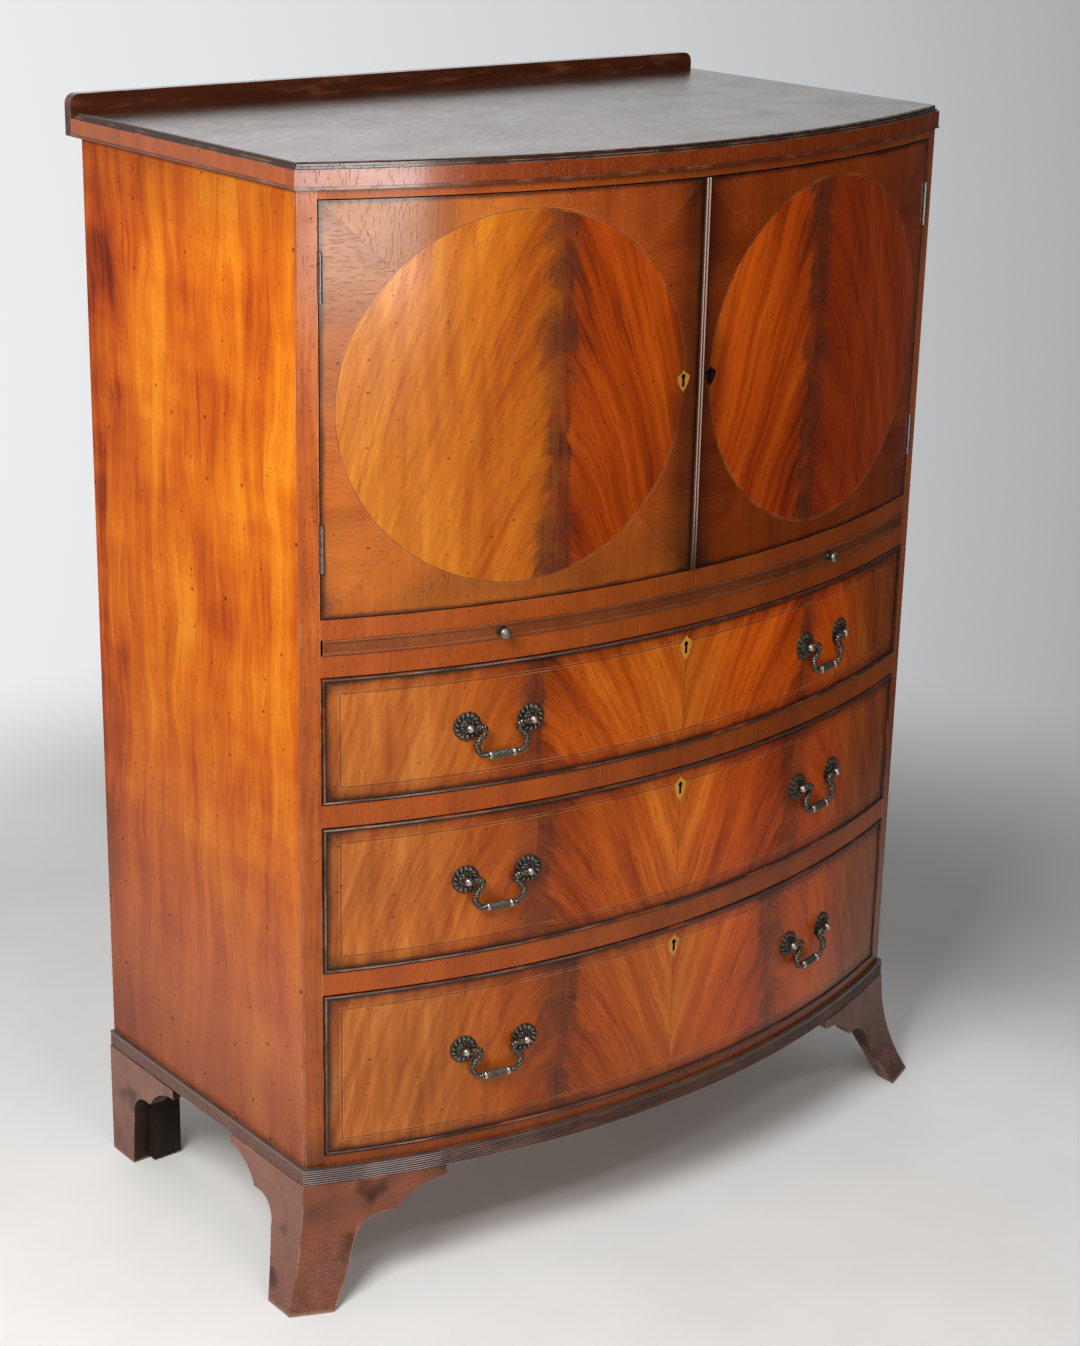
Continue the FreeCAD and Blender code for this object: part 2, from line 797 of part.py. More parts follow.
def back_foot():
    bracket = new_body("back_bracket")
    outer = HALF_WIDTH + s.foot_proud
    inner = outer - s.foot_thickness
    start = s.side_depth - s.side_bracket_length - s.overrun
    plan = rectangle(inner, start, outer, s.side_depth)
    pad(bracket, "plan", new_sketch(bracket, "plan", "XY_Plane", [plan]), s.foot_height)
    void = bracket_void(s.side_bracket_length, s.back_leg_reach, s.back_toe_reach, False)
    void = shifted(turned_over(void), s.side_depth)
    pocket(bracket, "bracket", new_sketch(bracket, "bracket", "YZ_Plane", [void]))
    place(bracket)
    brace = new_body("back_brace")
    tip = s.foot_height - s.bracket_tip
    cove = cove_radius(s.brace_length - s.back_leg_reach, tip)
    corners = [
        (inner, ZERO),
        (inner, s.foot_height),
        (inner - s.brace_length, s.foot_height),
        (inner - s.brace_length, tip, cove, "right"),
        (inner - s.back_leg_reach, ZERO),
    ]
    pad(brace, "face", new_sketch(brace, "face", "XZ_Plane", [corners]), s.foot_thickness)
    place(brace, y=s.side_depth)
    return group("back_right_foot", [bracket, brace])


def foot_blocks():
    outer = HALF_WIDTH + s.foot_proud - s.foot_thickness
    inner = outer - s.block_width
    set_in = s.foot_proud - s.foot_thickness
    front = bow_y(outer, set_in)
    back = s.side_depth - s.foot_thickness
    front_plan = [
        (inner, bow_y(inner, set_in), BOW_RADIUS + set_in, "left"),
        (outer, front),
        (outer, front + s.block_width),
        (inner, front + s.block_width),
    ]
    back_plan = rectangle(inner, back - s.block_width, outer, back)
    blocks = []
    for name, plan, lift in (("front", front_plan, s.front_block_lift), ("back", back_plan, s.back_block_lift)):
        block = board(f"{name}_right_block", plan, s.foot_height - lift, lift)
        blocks += [block, mirrored(f"{name}_left_block", block)]
    return group("foot_blocks", blocks)


# Doors


def pin_x():
    """Place of a hinge pin across the front: midway between the two leaves."""
    return INNER - s.leaf_thickness - s.leaf_gap / 2


def hinge_levels():
    lower = DOOR_LEVEL + s.hinge_inset
    upper = FRIEZE_LEVEL - s.hinge_inset - s.hinge_length
    return (("lower", lower), ("upper", upper))


def knuckle_pitch():
    return s.hinge_length / KNUCKLE_COUNT


def eye_outline(side):
    """Plan of a rolled eye round the pin, with the tongue that joins it to its leaf."""
    near = s.leaf_gap / 2
    far = near + s.leaf_thickness
    radius = s.knuckle_radius
    tongue = radius + s.knuckle_gap + s.leaf_thickness
    corners = [
        (ZERO, -radius, radius, "right"),
        (-radius, ZERO, radius, "right"),
        (near, root(radius * radius - near * near)),
        (near, tongue),
        (far, tongue),
        (far, root(radius * radius - far * far), radius, "right"),
    ]
    return corners if side == "right" else turned_over(corners)


def hinge_leaf(name, side, first, count, bore, level):
    """One leaf of a butt hinge: a plate and every other eye along the pin."""
    body = new_body(name)
    near = s.leaf_gap / 2
    far = near + s.leaf_thickness
    start = s.knuckle_radius + s.knuckle_gap
    plate = rectangle(near, start, far, start + s.leaf_width)
    plate = plate if side == "right" else turned_over(plate)
    pad(body, "plate", new_sketch(body, "plate", "XY_Plane", [plate]), s.hinge_length)
    for index in range(first, first + 2 * count, 2):
        place_up = knuckle_pitch() * index + s.knuckle_gap / 2
        eye = new_sketch(body, f"eye_{index}", "XY_Plane", [eye_outline(side)], place_up)
        add_circle(eye, ZERO, ZERO, bore)
        pad(body, f"eye_{index}", eye, knuckle_pitch() - s.knuckle_gap)
    return place(body, x=pin_x(), y=bow_y(pin_x(), s.hinge_proud), z=level)


def carcass_hinge_leaves():
    eyes = KNUCKLE_COUNT // 2 + 1
    pieces = []
    for name, level in hinge_levels():
        leaf = hinge_leaf(f"{name}_carcass_leaf", "right", 0, eyes, s.hinge_pin_radius, level)
        pin = doc.addObject("Part::Cylinder", f"{name}_hinge_pin")
        pin.setExpression("Radius", s.hinge_pin_radius.text)
        pin.setExpression("Height", s.hinge_length.text)
        place(pin, x=pin_x(), y=bow_y(pin_x(), s.hinge_proud), z=level)
        for piece in (leaf, pin):
            pieces += [piece, mirrored(f"left_{piece.Name}", piece)]
    return group("carcass_hinge_leaves", pieces)


def door_hinge_leaves():
    eyes = KNUCKLE_COUNT // 2
    bore = s.hinge_pin_radius + s.pivot_clearance
    leaves = []
    for name, level in hinge_levels():
        leaves.append(hinge_leaf(f"{name}_door_leaf", "left", 1, eyes, bore, level))
    return group("right_door_hinge_leaves", leaves)


def door_edge():
    """The door's hinged edge across the front."""
    return INNER - s.door_gap


def meeting_edge():
    return s.meeting_gap / 2


def door_middle():
    """Height of a door's shield above the door's foot."""
    return (s.door_height - s.door_gap * 2) / 2


def shield_outline(middle, level, tall):
    """A keyhole shield: a pointed top above shoulders, and full sides drawn in to a point below."""
    half_width = s.shield_width / 2
    half_height = tall / 2
    right = [(half_width * across, half_height * up) for across, up in SHIELD_SHARES]
    left = [(-x, y) for x, y in reversed(right[1:-1])]
    return [(middle + x, level + y) for x, y in reversed(right + left)]


def keyhole_outline(middle, level):
    """A round hole over a slot, in a shield with its middle at a level."""
    slot = s.keyhole_slot / 2
    radius = s.keyhole_radius
    head = level + s.keyhole_rise
    neck = head - root(radius * radius - slot * slot)
    foot = head + radius - s.keyhole_length
    return [
        (middle - slot, foot),
        (middle + slot, foot),
        (middle + slot, neck, radius, "left"),
        (middle + radius, head, radius, "left"),
        (middle, head + radius, radius, "left"),
        (middle - radius, head, radius, "left"),
        (middle - slot, neck),
    ]


def shield_depth():
    return s.shield_thickness - s.shield_proud


def cut_keyhole(body, middle, level, tall, face, thickness):
    """The shield's bed, and the keyhole through to the lock, cut into a front's face."""
    front = face + s.overrun
    for name, corners, depth in (
        ("shield", shield_outline(middle, level, tall), shield_depth()),
        ("keyhole", keyhole_outline(middle, level), thickness - s.lock_thickness),
    ):
        sketch = new_sketch(body, name, "XZ_Plane", [corners], front)
        pocket(body, name, sketch, depth + s.overrun)


def escutcheon(name, middle, level, tall, face):
    """A boxwood shield let into a front, with its keyhole."""
    body = new_body(name)
    outlines = [shield_outline(middle, ZERO, tall), keyhole_outline(middle, ZERO)]
    sketch = new_sketch(body, "shield", "XZ_Plane", outlines)
    pad(body, "shield", sketch, s.shield_thickness)
    return place(body, y=shield_depth() - face, z=level)


def door_face():
    """How far ahead of the front corners a door's face lies at its keyhole."""
    return -bow_y(s.door_keyhole_reach)


def door(name):
    """A bowed door panel, with beds for its hinges and shield."""
    height = s.door_height - s.door_gap * 2
    body = board(name, bow_strip(meeting_edge(), door_edge(), ZERO, -s.door_thickness), height,
                 DOOR_LEVEL + s.door_gap)
    bed = pin_x() - s.leaf_gap / 2 - s.leaf_thickness
    low_y = bow_y(door_edge(), s.overrun)
    high_y = bow_y(door_edge(), -(s.door_thickness + s.overrun))
    corners = rectangle(bed, low_y, door_edge() + s.overrun, high_y)
    for place_name, level in hinge_levels():
        low = level - DOOR_LEVEL - s.door_gap - s.run_clearance
        sketch = new_sketch(body, f"{place_name}_hinge", "XY_Plane", [corners], low)
        pocket(body, f"{place_name}_hinge", sketch, s.hinge_length + s.run_clearance * 2, back=True)
    cut_knuckle_notches(body, DOOR_LEVEL + s.door_gap)
    cut_keyhole(body, s.door_keyhole_reach, door_middle(), s.door_shield_height, door_face(), s.door_thickness)
    return body


def door_bolt_place():
    return s.door_thickness - s.bow_rise - s.lock_thickness / 2


def door_bolt_outline(grow=ZERO):
    """Face of the door lock's bolt, or of the hole round it, seen from the side."""
    deep = s.bolt_thickness / 2 + grow
    tall = s.bolt_width / 2 + grow
    middle = door_middle()
    return rectangle(door_bolt_place() - deep, middle - tall, door_bolt_place() + deep, middle + tall)


def right_door():
    body = door("right_door")
    bed = lock_bed(s.door_thickness)
    low = door_middle() - s.lock_width / 2
    sketch = new_sketch(body, "lock", "XY_Plane", [bed], low)
    pocket(body, "lock", sketch, s.lock_width, back=True)
    return body


def lock_bed(thickness):
    """Plan of the door lock's bed, open at the meeting edge and at the back of the door."""
    front = thickness - s.bow_rise - s.lock_thickness
    return rectangle(meeting_edge() - s.overrun, front, meeting_edge() + s.lock_height, front + s.bow_rise)


def left_door():
    source = door("left_door_panel")
    sketch = new_sketch(source, "mortise", "YZ_Plane", [door_bolt_outline(s.bolt_clearance)], meeting_edge())
    pocket(source, "mortise", sketch, s.bolt_travel + s.bolt_clearance, back=True)
    return mirrored("left_door", source)


def door_lock():
    """A cut lock in the right door's meeting edge, with a hole for its bolt."""
    body = new_body("door_lock")
    front = s.door_thickness - s.bow_rise - s.lock_thickness
    corners = rectangle(meeting_edge(), front, meeting_edge() + s.lock_height, front + s.lock_thickness)
    low = door_middle() - s.lock_width / 2
    pad(body, "case", new_sketch(body, "case", "XY_Plane", [corners], low), s.lock_width)
    sketch = new_sketch(body, "hole", "YZ_Plane", [door_bolt_outline(s.bolt_clearance)], meeting_edge())
    pocket(body, "hole", sketch, s.bolt_length + s.bolt_clearance, back=True)
    return place(body, z=DOOR_LEVEL + s.door_gap)


def door_lock_bolt():
    body = new_body("door_lock_bolt")
    sketch = new_sketch(body, "bolt", "YZ_Plane", [door_bolt_outline()], meeting_edge())
    pad(body, "bolt", sketch, s.bolt_length)
    return place(body, z=DOOR_LEVEL + s.door_gap)


def closing_bead():
    """A reeded bead on the right door's meeting edge."""
    body = new_body("closing_bead")
    left = meeting_edge()
    reed = s.closing_bead_width / 2
    depth = reed * s.reed_depth_share
    radius = cove_radius(reed / 2, depth)
    back = bow_y(left)
    front = back - s.closing_bead_proud + depth
    corners = [
        (left, back),
        (left, front, radius, "left"),
        (left + reed, front, radius, "left"),
        (left + reed * 2, front),
        (left + reed * 2, back),
    ]
    flat = s.door_height - s.door_gap * 2
    pad(body, "reeds", new_sketch(body, "reeds", "XY_Plane", [corners]), flat)
    return place(body, z=DOOR_LEVEL + s.door_gap)


# Brushing slide


def bead_nose(left, right, base, crown):
    """The rounded front of an upright bead, between two places across the front."""
    first = bow_y(left, base)
    last = bow_y(right, base)
    across = right - left
    back = last - first
    radius = cove_radius(root(across * across + back * back) / 2, crown)
    return [(left, first, radius, "left"), (right, last)]


def brushing_slide():
    reach = INNER - s.drawer_gap
    angle_end = reach * BOW_RADIUS / (BOW_RADIUS + s.slide_bead)
    height = s.slide_height - s.run_clearance * 2
    level = SLIDE_LEVEL + s.run_clearance
    inner = bow_y(reach, -s.slide_edging)
    radius = BOW_RADIUS - s.slide_edging
    depth = CLEAR_DEPTH - s.slide_back_gap
    plan = [(-reach, inner, radius, "left"), (reach, inner), (reach, depth), (-reach, depth)]
    panel = board("slide_panel", plan, height, level)
    edging = new_body("slide_edging")
    front = BOW_RADIUS
    bead = s.slide_bead
    crown = bead * s.reed_depth_share
    proud = front + s.slide_bead_proud - crown
    round_off = cove_radius(bead / 2, crown)
    section = [
        (-(front - s.slide_edging), ZERO),
        (-(front - s.slide_edging), height),
        (-proud, height, round_off, "left"),
        (-proud, height - bead),
        (-front, height - bead),
        (-front, bead),
        (-proud, bead, round_off, "left"),
        (-proud, ZERO),
    ]
    revolve(edging, "section", new_sketch(edging, "section", "YZ_Plane", [section]),
            angle_of_sine(reach / (BOW_RADIUS + bead)) * 2)
    place(edging, y=BOW_AXIS, z=level)
    bored = doc.addObject("Part::Cut", "bored_slide_edging")
    bored.Base = edging
    bored.Tool = slide_knob_holes()
    end_x = angle_end - bead
    end_plan = [
        (end_x, bow_y(end_x)),
        *bead_nose(end_x, angle_end, s.slide_bead_proud - crown, crown),
        (angle_end, bow_y(angle_end), BOW_RADIUS, "right"),
    ]
    end_bead = board("slide_right_bead", end_plan, height - bead * 2, level + bead)
    return group("brushing_slide", [panel, bored, end_bead, mirrored("slide_left_bead", end_bead)])


def set_on_slide(piece):
    """Set a piece square to the bow at the right hand knob of the slide."""
    x = s.slide_knob_reach
    return place(piece, x=x, y=bow_y(x), z=SLIDE_LEVEL + s.slide_height / 2, turn=bow_turn(x))


def slide_knob_holes():
    hole = new_body("right_knob_hole")
    sketch = new_sketch(hole, "round", "XZ_Plane")
    add_circle(sketch, ZERO, ZERO, s.slide_knob_radius / 2)
    pad(hole, "round", sketch, s.slide_edging, both=True)
    set_on_slide(hole)
    return group("slide_knob_holes", [hole, mirrored("left_knob_hole", hole)])


def slide_knobs():
    knob = new_body("right_slide_knob")
    radius = s.slide_knob_radius
    length = s.slide_knob_length
    neck = radius / 2
    collar = length / 4
    corners = [
        (ZERO, -length),
        (ZERO, s.slide_edging / 2),
        (neck, s.slide_edging / 2),
        (neck, ZERO),
        (radius * 2 / 3, ZERO),
        (neck, -collar),
        (neck, -collar * 2, radius, "left"),
        (radius, -collar * 3, radius, "right"),
    ]
    section = new_sketch(knob, "section", "XY_Plane", [corners])
    revolve(knob, "section", section, as_size(FULL_TURN))
    set_on_slide(knob)
    return group("slide_knobs", [knob, mirrored("left_slide_knob", knob)])


# Drawers


def drawer_front(name, level, height, holes):
    """A bowed front inside its cockbead, bored for the handles and bedded for the lock."""
    reach = INNER - s.drawer_gap - s.bead_width
    inset = s.drawer_gap + s.bead_width
    tall = height - inset * 2
    panel = board(f"{name}_front_panel", bow_strip(-reach, reach, ZERO, -s.front_thickness), tall, level + inset)
    middle = height - s.keyhole_drop - inset
    cut_keyhole(panel, ZERO, middle, s.shield_height, s.bow_rise, s.front_thickness)
    half = s.lock_width / 2
    front = s.front_thickness - s.bow_rise - s.lock_thickness
    bed = rectangle(-half, front, half, front + s.bow_rise)
    sketch = new_sketch(panel, "lock", "XY_Plane", [bed], tall - s.lock_height)
    pocket(panel, "lock", sketch, s.lock_height + s.overrun, back=True)
    bored = doc.addObject("Part::Cut", f"{name}_front")
    bored.Base = panel
    bored.Tool = holes
    return bored


def cockbead(name, level, height):
    """Four round nosed strips framing a drawer's front."""
    gap = s.drawer_gap
    width = s.bead_width
    reach = INNER - gap
    base = s.bead_proud - s.bead_crown
    nose = cove_radius(width / 2, s.bead_crown)
    section = [
        (-(BOW_RADIUS - s.front_thickness), ZERO),
        (-(BOW_RADIUS - s.front_thickness), width),
        (-(BOW_RADIUS + base), width, nose, "left"),
        (-(BOW_RADIUS + s.bead_proud), width / 2, nose, "left"),
        (-(BOW_RADIUS + base), ZERO),
    ]
    strips = []
    for place_name, up in (("bottom", gap), ("top", height - gap - width)):
        strip = new_body(f"{name}_{place_name}_bead")
        angle = angle_of_sine(reach / BOW_RADIUS) * 2
        revolve(strip, "section", new_sketch(strip, "section", "YZ_Plane", [section]), angle)
        ends = rectangle(reach, -s.width * 2, s.width, s.width)
        pocket(strip, "ends", new_sketch(strip, "ends", "XY_Plane", [ends, turned_over(ends)]))
        if place_name == "top":
            slot = [(x, y - BOW_AXIS) for x, y in bolt_slot(s.bolt_clearance)]
            pocket(strip, "slot", new_sketch(strip, "slot", "XY_Plane", [slot]))
        strips.append(place(strip, y=BOW_AXIS, z=level + up))
    left = reach - width
    upright = [
        (left, bow_y(left, -s.front_thickness)),
        *bead_nose(left, reach, base, s.bead_crown),
        (reach, bow_y(reach, -s.front_thickness), BOW_RADIUS - s.front_thickness, "right"),
    ]
    right = board(f"{name}_right_bead", upright, height - (gap + width) * 2, level + gap + width)
    strips += [right, mirrored(f"{name}_left_bead", right)]
    return group(f"{name}_cockbead", strips)


def drawer_outer():
    return INNER - s.drawer_side_gap


def drawer_sides(name, level, height):
    outer = drawer_outer()
    inner = outer - s.drawer_side_thickness
    end = CLEAR_DEPTH - s.drawer_back_gap
    tall = height - s.run_clearance - s.drawer_head_room
    low = level + s.run_clearance
    plan = [
        (inner, bow_y(inner, -s.front_thickness), BOW_RADIUS - s.front_thickness, "left"),
        (outer, bow_y(outer, -s.front_thickness)),
        (outer, end),
        (inner, end),
    ]
    side = board(f"{name}_right_side", plan, tall, low)
    floor = s.bottom_lift + s.bottom_thickness
    back = box(f"{name}_back", (-inner, end - s.drawer_side_thickness, low + floor), (inner, end, low + tall))
    return group(f"{name}_sides", [side, mirrored(f"{name}_left_side", side), back])


def drawer_bottom(name, level):
    inner = drawer_outer() - s.drawer_side_thickness
    end = CLEAR_DEPTH - s.drawer_back_gap
    plan = bow_board(inner, end, -s.front_thickness)
    return board(f"{name}_bottom", plan, s.bottom_thickness, level + s.run_clearance + s.bottom_lift)


def drawer_lock(name, level, height):
    body = new_body(f"{name}_lock")
    half = s.lock_width / 2
    front = s.front_thickness - s.bow_rise - s.lock_thickness
    plan = rectangle(-half, front, half, front + s.lock_thickness)
    pad(body, "case", new_sketch(body, "case", "XY_Plane", [plan]), s.lock_height)
    slot = new_sketch(body, "slot", "XY_Plane", [bolt_slot(s.bolt_clearance)], s.lock_height + s.overrun)
    pocket(body, "slot", slot, s.bolt_length + s.bolt_clearance + s.overrun)
    return place(body, z=level + height - s.drawer_gap - s.bead_width - s.lock_height)


def drawer_lock_bolt(name, level, height):
    top = level + height - s.drawer_gap - s.bead_width
    return board(f"{name}_lock_bolt", bolt_slot(), s.bolt_length, top - s.bolt_length)


# Swan neck handles


def handle_parts(side):
    """Sine and cosine of the bow at a handle, on the side given by its sign."""
    tilt = s.handle_reach / BOW_RADIUS
    level = root(as_size(1) - tilt * tilt)
    return tilt * side, level


def set_on_handle(piece, side, along, out, z):
    """Set a piece at a place along a handle and out from the front, square to the handle."""
    tilt, level = handle_parts(side)
    x = s.handle_reach * side + along * level + out * tilt
    y = bow_y(s.handle_reach) + along * tilt - out * level
    return place(piece, x=x, y=y, z=z, turn=bow_turn(s.handle_reach) * side)


def post_place(side, end):
    """Place of a rose across the front, at one end of a handle."""
    tilt, level = handle_parts(side)
    return s.handle_reach * side + s.handle_centres / 2 * end * level


def sag_of(radius, reach):
    """How far an arc falls back from its tangent over a reach to one side."""
    return radius - root(radius * radius - reach * reach)


def shank_length():
    """From the front's face at a handle's middle to the back of a nut that clears the hollow inside."""
    inner_sag = sag_of(BOW_RADIUS - s.front_thickness, s.handle_centres / 2 + s.nut_radius)
    return s.front_thickness + inner_sag + s.nut_thickness


def bored_hole(name, radius, side, end, near, far, z):
    """A round hole or rod square to a handle, from near to far behind the front's face."""
    hole = new_body(name)
    sketch = new_sketch(hole, "round", "XZ_Plane")
    add_circle(sketch, ZERO, ZERO, radius)
    pad(hole, "round", sketch, far - near)
    return set_on_handle(hole, side, s.handle_centres / 2 * end, -far, z)


def rose(name, side, end, z):
    """A flower rose: a round plate with a ring of petals and a smaller ring over it."""
    body = new_body(name)
    core = s.rose_radius - s.petal_radius
    plate = new_sketch(body, "plate", "XZ_Plane")
    add_circle(plate, ZERO, ZERO, core)
    add_circle(plate, ZERO, ZERO, s.shank_radius + s.shank_clearance)
    pad(body, "plate", plate, s.rose_thickness)
    rings = (
        ("outer", PETAL_COUNT, core, s.petal_radius, s.rose_thickness),
        ("inner", INNER_PETAL_COUNT, s.inner_petal_place, s.inner_petal_radius, s.inner_petal_thickness),
    )
    for ring, count, centre, radius, thickness in rings:
        sketch = new_sketch(body, ring, "XZ_Plane")
        add_circle(sketch, ZERO, centre, radius)
        petal = pad(body, ring, sketch, thickness)
        petals = body.newObject("PartDesign::PolarPattern", f"{name}_{ring}_petals")
        petals.Originals = [petal]
        petals.Axis = (sketch, ["N_Axis"])
        petals.Angle = FULL_TURN
        petals.Occurrences = count
        body.Tip = petals
    x = post_place(side, end)
    return place(body, x=x, y=bow_y(x), z=z, turn=bow_turn(x))


def post(name, side, end, z):
    """A turned post with a ball head, bored on its inner side for the bail, and a shank to the nut."""
    body = new_body(f"{name}_turning")
    out = s.pivot_out
    ball = s.ball_radius
    neck = s.post_radius
    half = s.handle_centres / 2
    seat = s.rose_thickness - sag_of(BOW_RADIUS, half) + s.seat_gap
    reach = root(ball * ball - neck * neck)
    shank = shank_length()
    corners = [
        (ZERO, shank),
        (s.shank_radius, shank),
        (s.shank_radius, -seat),
        (neck, -seat),
        (neck, reach - out, ball, "right"),
        (ball, -out, ball, "right"),
        (ZERO, -(out + ball)),
    ]
    section = new_sketch(body, "section", "XY_Plane", [corners])
    revolve(body, "section", section, as_size(FULL_TURN))
    set_on_handle(body, side, half * end, ZERO, z)
    bore = new_body(f"{name}_bore")
    sketch = new_sketch(bore, "round", "YZ_Plane")
    add_circle(sketch, ZERO, ZERO, s.pivot_pin_radius + s.pivot_clearance)
    length = ball + s.overrun - s.pivot_end_gap
    pad(bore, "round", sketch, length, back=end > 0)
    along = (half - s.pivot_end_gap) * end
    set_on_handle(bore, side, along, s.pivot_out, z)
    piece = doc.addObject("Part::Cut", name)
    piece.Base = body
    piece.Tool = bore
    return piece


def nut(name, side, end, z):
    """The nut on a post's shank, inside the drawer."""
    body = new_body(name)
    sketch = new_sketch(body, "round", "XZ_Plane")
    add_circle(sketch, ZERO, ZERO, s.nut_radius)
    add_circle(sketch, ZERO, ZERO, s.shank_radius)
    pad(body, "round", sketch, s.nut_thickness)
    return set_on_handle(body, side, s.handle_centres / 2 * end, -shank_length(), z)


def handle_level(name, height_name, share):
    return DRAWER_LEVELS[name] + getattr(s, height_name) * share


HANDLE_ENDS = ((-1, -1), (-1, 1), (1, -1), (1, 1))


def handle_holes(name, z):
    """The bores for the four posts of a drawer's two handles."""
    radius = s.shank_radius + s.shank_clearance
    holes = []
    for index, (side, end) in enumerate(HANDLE_ENDS):
        holes.append(bored_hole(f"{name}_hole_{index}", radius, side, end, -s.overrun,
                                s.front_thickness + s.overrun, z))
    return group(f"{name}_handle_holes", holes)


def handle_mounts(name, z):
    pieces = []
    for index, (side, end) in enumerate(HANDLE_ENDS):
        pieces.append(rose(f"{name}_rose_{index}", side, end, z))
        pieces.append(post(f"{name}_post_{index}", side, end, z))
        pieces.append(nut(f"{name}_nut_{index}", side, end, z))
    return group(f"{name}_handle_mounts", pieces)


def bail_path():
    """Half of a swan neck bail: in from the post, round an elbow, out and down, and round to the grip."""
    start = s.handle_centres / 2 - s.ball_radius - s.knuckle_gap
    neck = s.neck_place
    elbow = s.elbow_radius
    swan_x = neck + s.swan_radius * (as_size(1) - cosine(s.swan_angle))
    swan_z = -(elbow + s.swan_radius * sine(s.swan_angle))
    heel_x = swan_x - s.heel_radius * cosine(s.swan_angle)
    heel_z = swan_z - s.heel_radius * sine(s.swan_angle)
    widest = heel_x + s.heel_radius
    drop = heel_z - s.heel_radius
    path = [
        (start, ZERO),
        (neck + elbow, ZERO, elbow, "left"),
        (neck, -elbow, s.swan_radius, "left"),
        (swan_x, swan_z, s.heel_radius, "right"),
        (widest, heel_z, s.heel_radius, "right"),
        (heel_x, drop),
    ]
    return path, start, drop


def bail(name, side, z):
    """A swan neck bail with a barrel grip between two collars."""
    body = new_body(name)
    half, start, drop = bail_path()
    other = [(-x, y) + tuple(arc) for x, y, *arc in half]
    back_half = []
    for index in range(len(other) - 1, -1, -1):
        arc = tuple(other[index - 1][2:]) if index > 0 else ()
        back_half.append(tuple(other[index][:2]) + arc)
    path = new_sketch(body, "path", "XZ_Plane")
    add_outline(path, half + back_half, closed=False)
    profile = new_sketch(body, "wire", "YZ_Plane", offset=start)
    add_circle(profile, ZERO, ZERO, s.wire_radius)
    wire = body.newObject("PartDesign::AdditivePipe", f"{name}_wire_pipe")
    wire.Profile = profile
    wire.Spine = path
    pin_end = s.handle_centres / 2 - s.pivot_end_gap * 2
    pin_length = (pin_end - start) * 2
    barrels = (
        ("grip", s.grip_radius, ZERO, drop, s.grip_length),
        ("right_collar", s.collar_radius, s.grip_length / 2, drop, s.collar_length),
        ("left_collar", s.collar_radius, -(s.grip_length / 2), drop, s.collar_length),
        ("right_pin", s.pivot_pin_radius, start, ZERO, pin_length),
        ("left_pin", s.pivot_pin_radius, -start, ZERO, pin_length),
    )
    for barrel, radius, along, level, length in barrels:
        sketch = new_sketch(body, barrel, "YZ_Plane", offset=along)
        add_circle(sketch, ZERO, level, radius)
        pad(body, barrel, sketch, length, both=True)
    return set_on_handle(body, side, ZERO, s.pivot_out, z)


def drawer(name, height_name, share):
    """All the pieces of one drawer."""
    level = DRAWER_LEVELS[name]
    height = getattr(s, height_name)
    z = handle_level(name, height_name, share)
    shield_level = level + height - s.keyhole_drop
    return [
        drawer_front(name, level, height, handle_holes(name, z)),
        cockbead(name, level, height),
        drawer_sides(name, level, height),
        drawer_bottom(name, level),
        escutcheon(f"{name}_escutcheon", ZERO, shield_level, s.shield_height, s.bow_rise),
        drawer_lock(name, level, height),
        drawer_lock_bolt(name, level, height),
        handle_mounts(name, z),
        bail(f"{name}_left_bail", -1, z),
        bail(f"{name}_right_bail", 1, z),
    ]


def carcass():
    side = side_panel()
    right_stile = stile()
    front = front_foot()
    back = back_foot()
    shelf_plan = bow_board(INNER, CLEAR_DEPTH, -s.shelf_setback)
    return [
        side,
        mirrored("left_side", side),
        group("front_stiles", [right_stile, mirrored("left_stile", right_stile)]),
        top_board(),
        back_gallery(),
        back_boards(),
        board("frieze_rail", bow_board(INNER, s.frieze_reach), s.frieze_height, FRIEZE_LEVEL),
        board("cupboard_floor", bow_board(INNER, CLEAR_DEPTH), s.floor_thickness, FLOOR_LEVEL),
        drawer_rails(),
        dust_boards(),
        board("cupboard_shelf", shelf_plan, s.shelf_thickness, shelf_level()),
        shelf_battens(),
        drawer_runners(),
        base_moulding(),
        front,
        mirrored("front_left_foot", front),
        back,
        mirrored("back_left_foot", back),
        foot_blocks(),
        carcass_hinge_leaves(),
    ]


def doors():
    right_leaves = door_hinge_leaves()
    middle = DOOR_LEVEL + s.door_gap + door_middle()
    reach = s.door_keyhole_reach
    left_shield = escutcheon("left_door_shield", reach, middle, s.door_shield_height, door_face())
    return [
        left_door(),
        mirrored("left_door_hinge_leaves", right_leaves),
        mirrored("left_door_escutcheon", left_shield),
        right_door(),
        right_leaves,
        closing_bead(),
        door_lock(),
        door_lock_bolt(),
    ]


def check_document():
    """Stop if any piece failed, or if a cut took nothing away."""
    for item in doc.Objects:
        if any(state in ("Invalid", "Error") for state in item.State):
            raise RuntimeError(f"{item.Name} failed: {item.State}")
        if item.TypeId == "PartDesign::Pocket" and item.Shape.Volume >= item.BaseFeature.Shape.Volume:
            raise RuntimeError(f"{item.Name} cuts nothing")


def write_parts(nodes):
    os.makedirs("parts", exist_ok=True)
    for node in nodes:
        if node.Shape.isNull() or not node.Shape.isValid():
            raise RuntimeError(f"{node.Label} has no valid solid")
    for node in nodes:
        node.Shape.exportStep(os.path.join("parts", f"{node.Label}.step"))


nodes = carcass() + doors() + [brushing_slide(), slide_knobs()]
for drawer_row in DRAWERS:
    nodes += drawer(*drawer_row)
doc.recompute()
check_document()
write_parts(nodes)
print(len(nodes), "nodes written")
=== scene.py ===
import json
import math

import bmesh
import bpy
from mathutils import Matrix, Vector

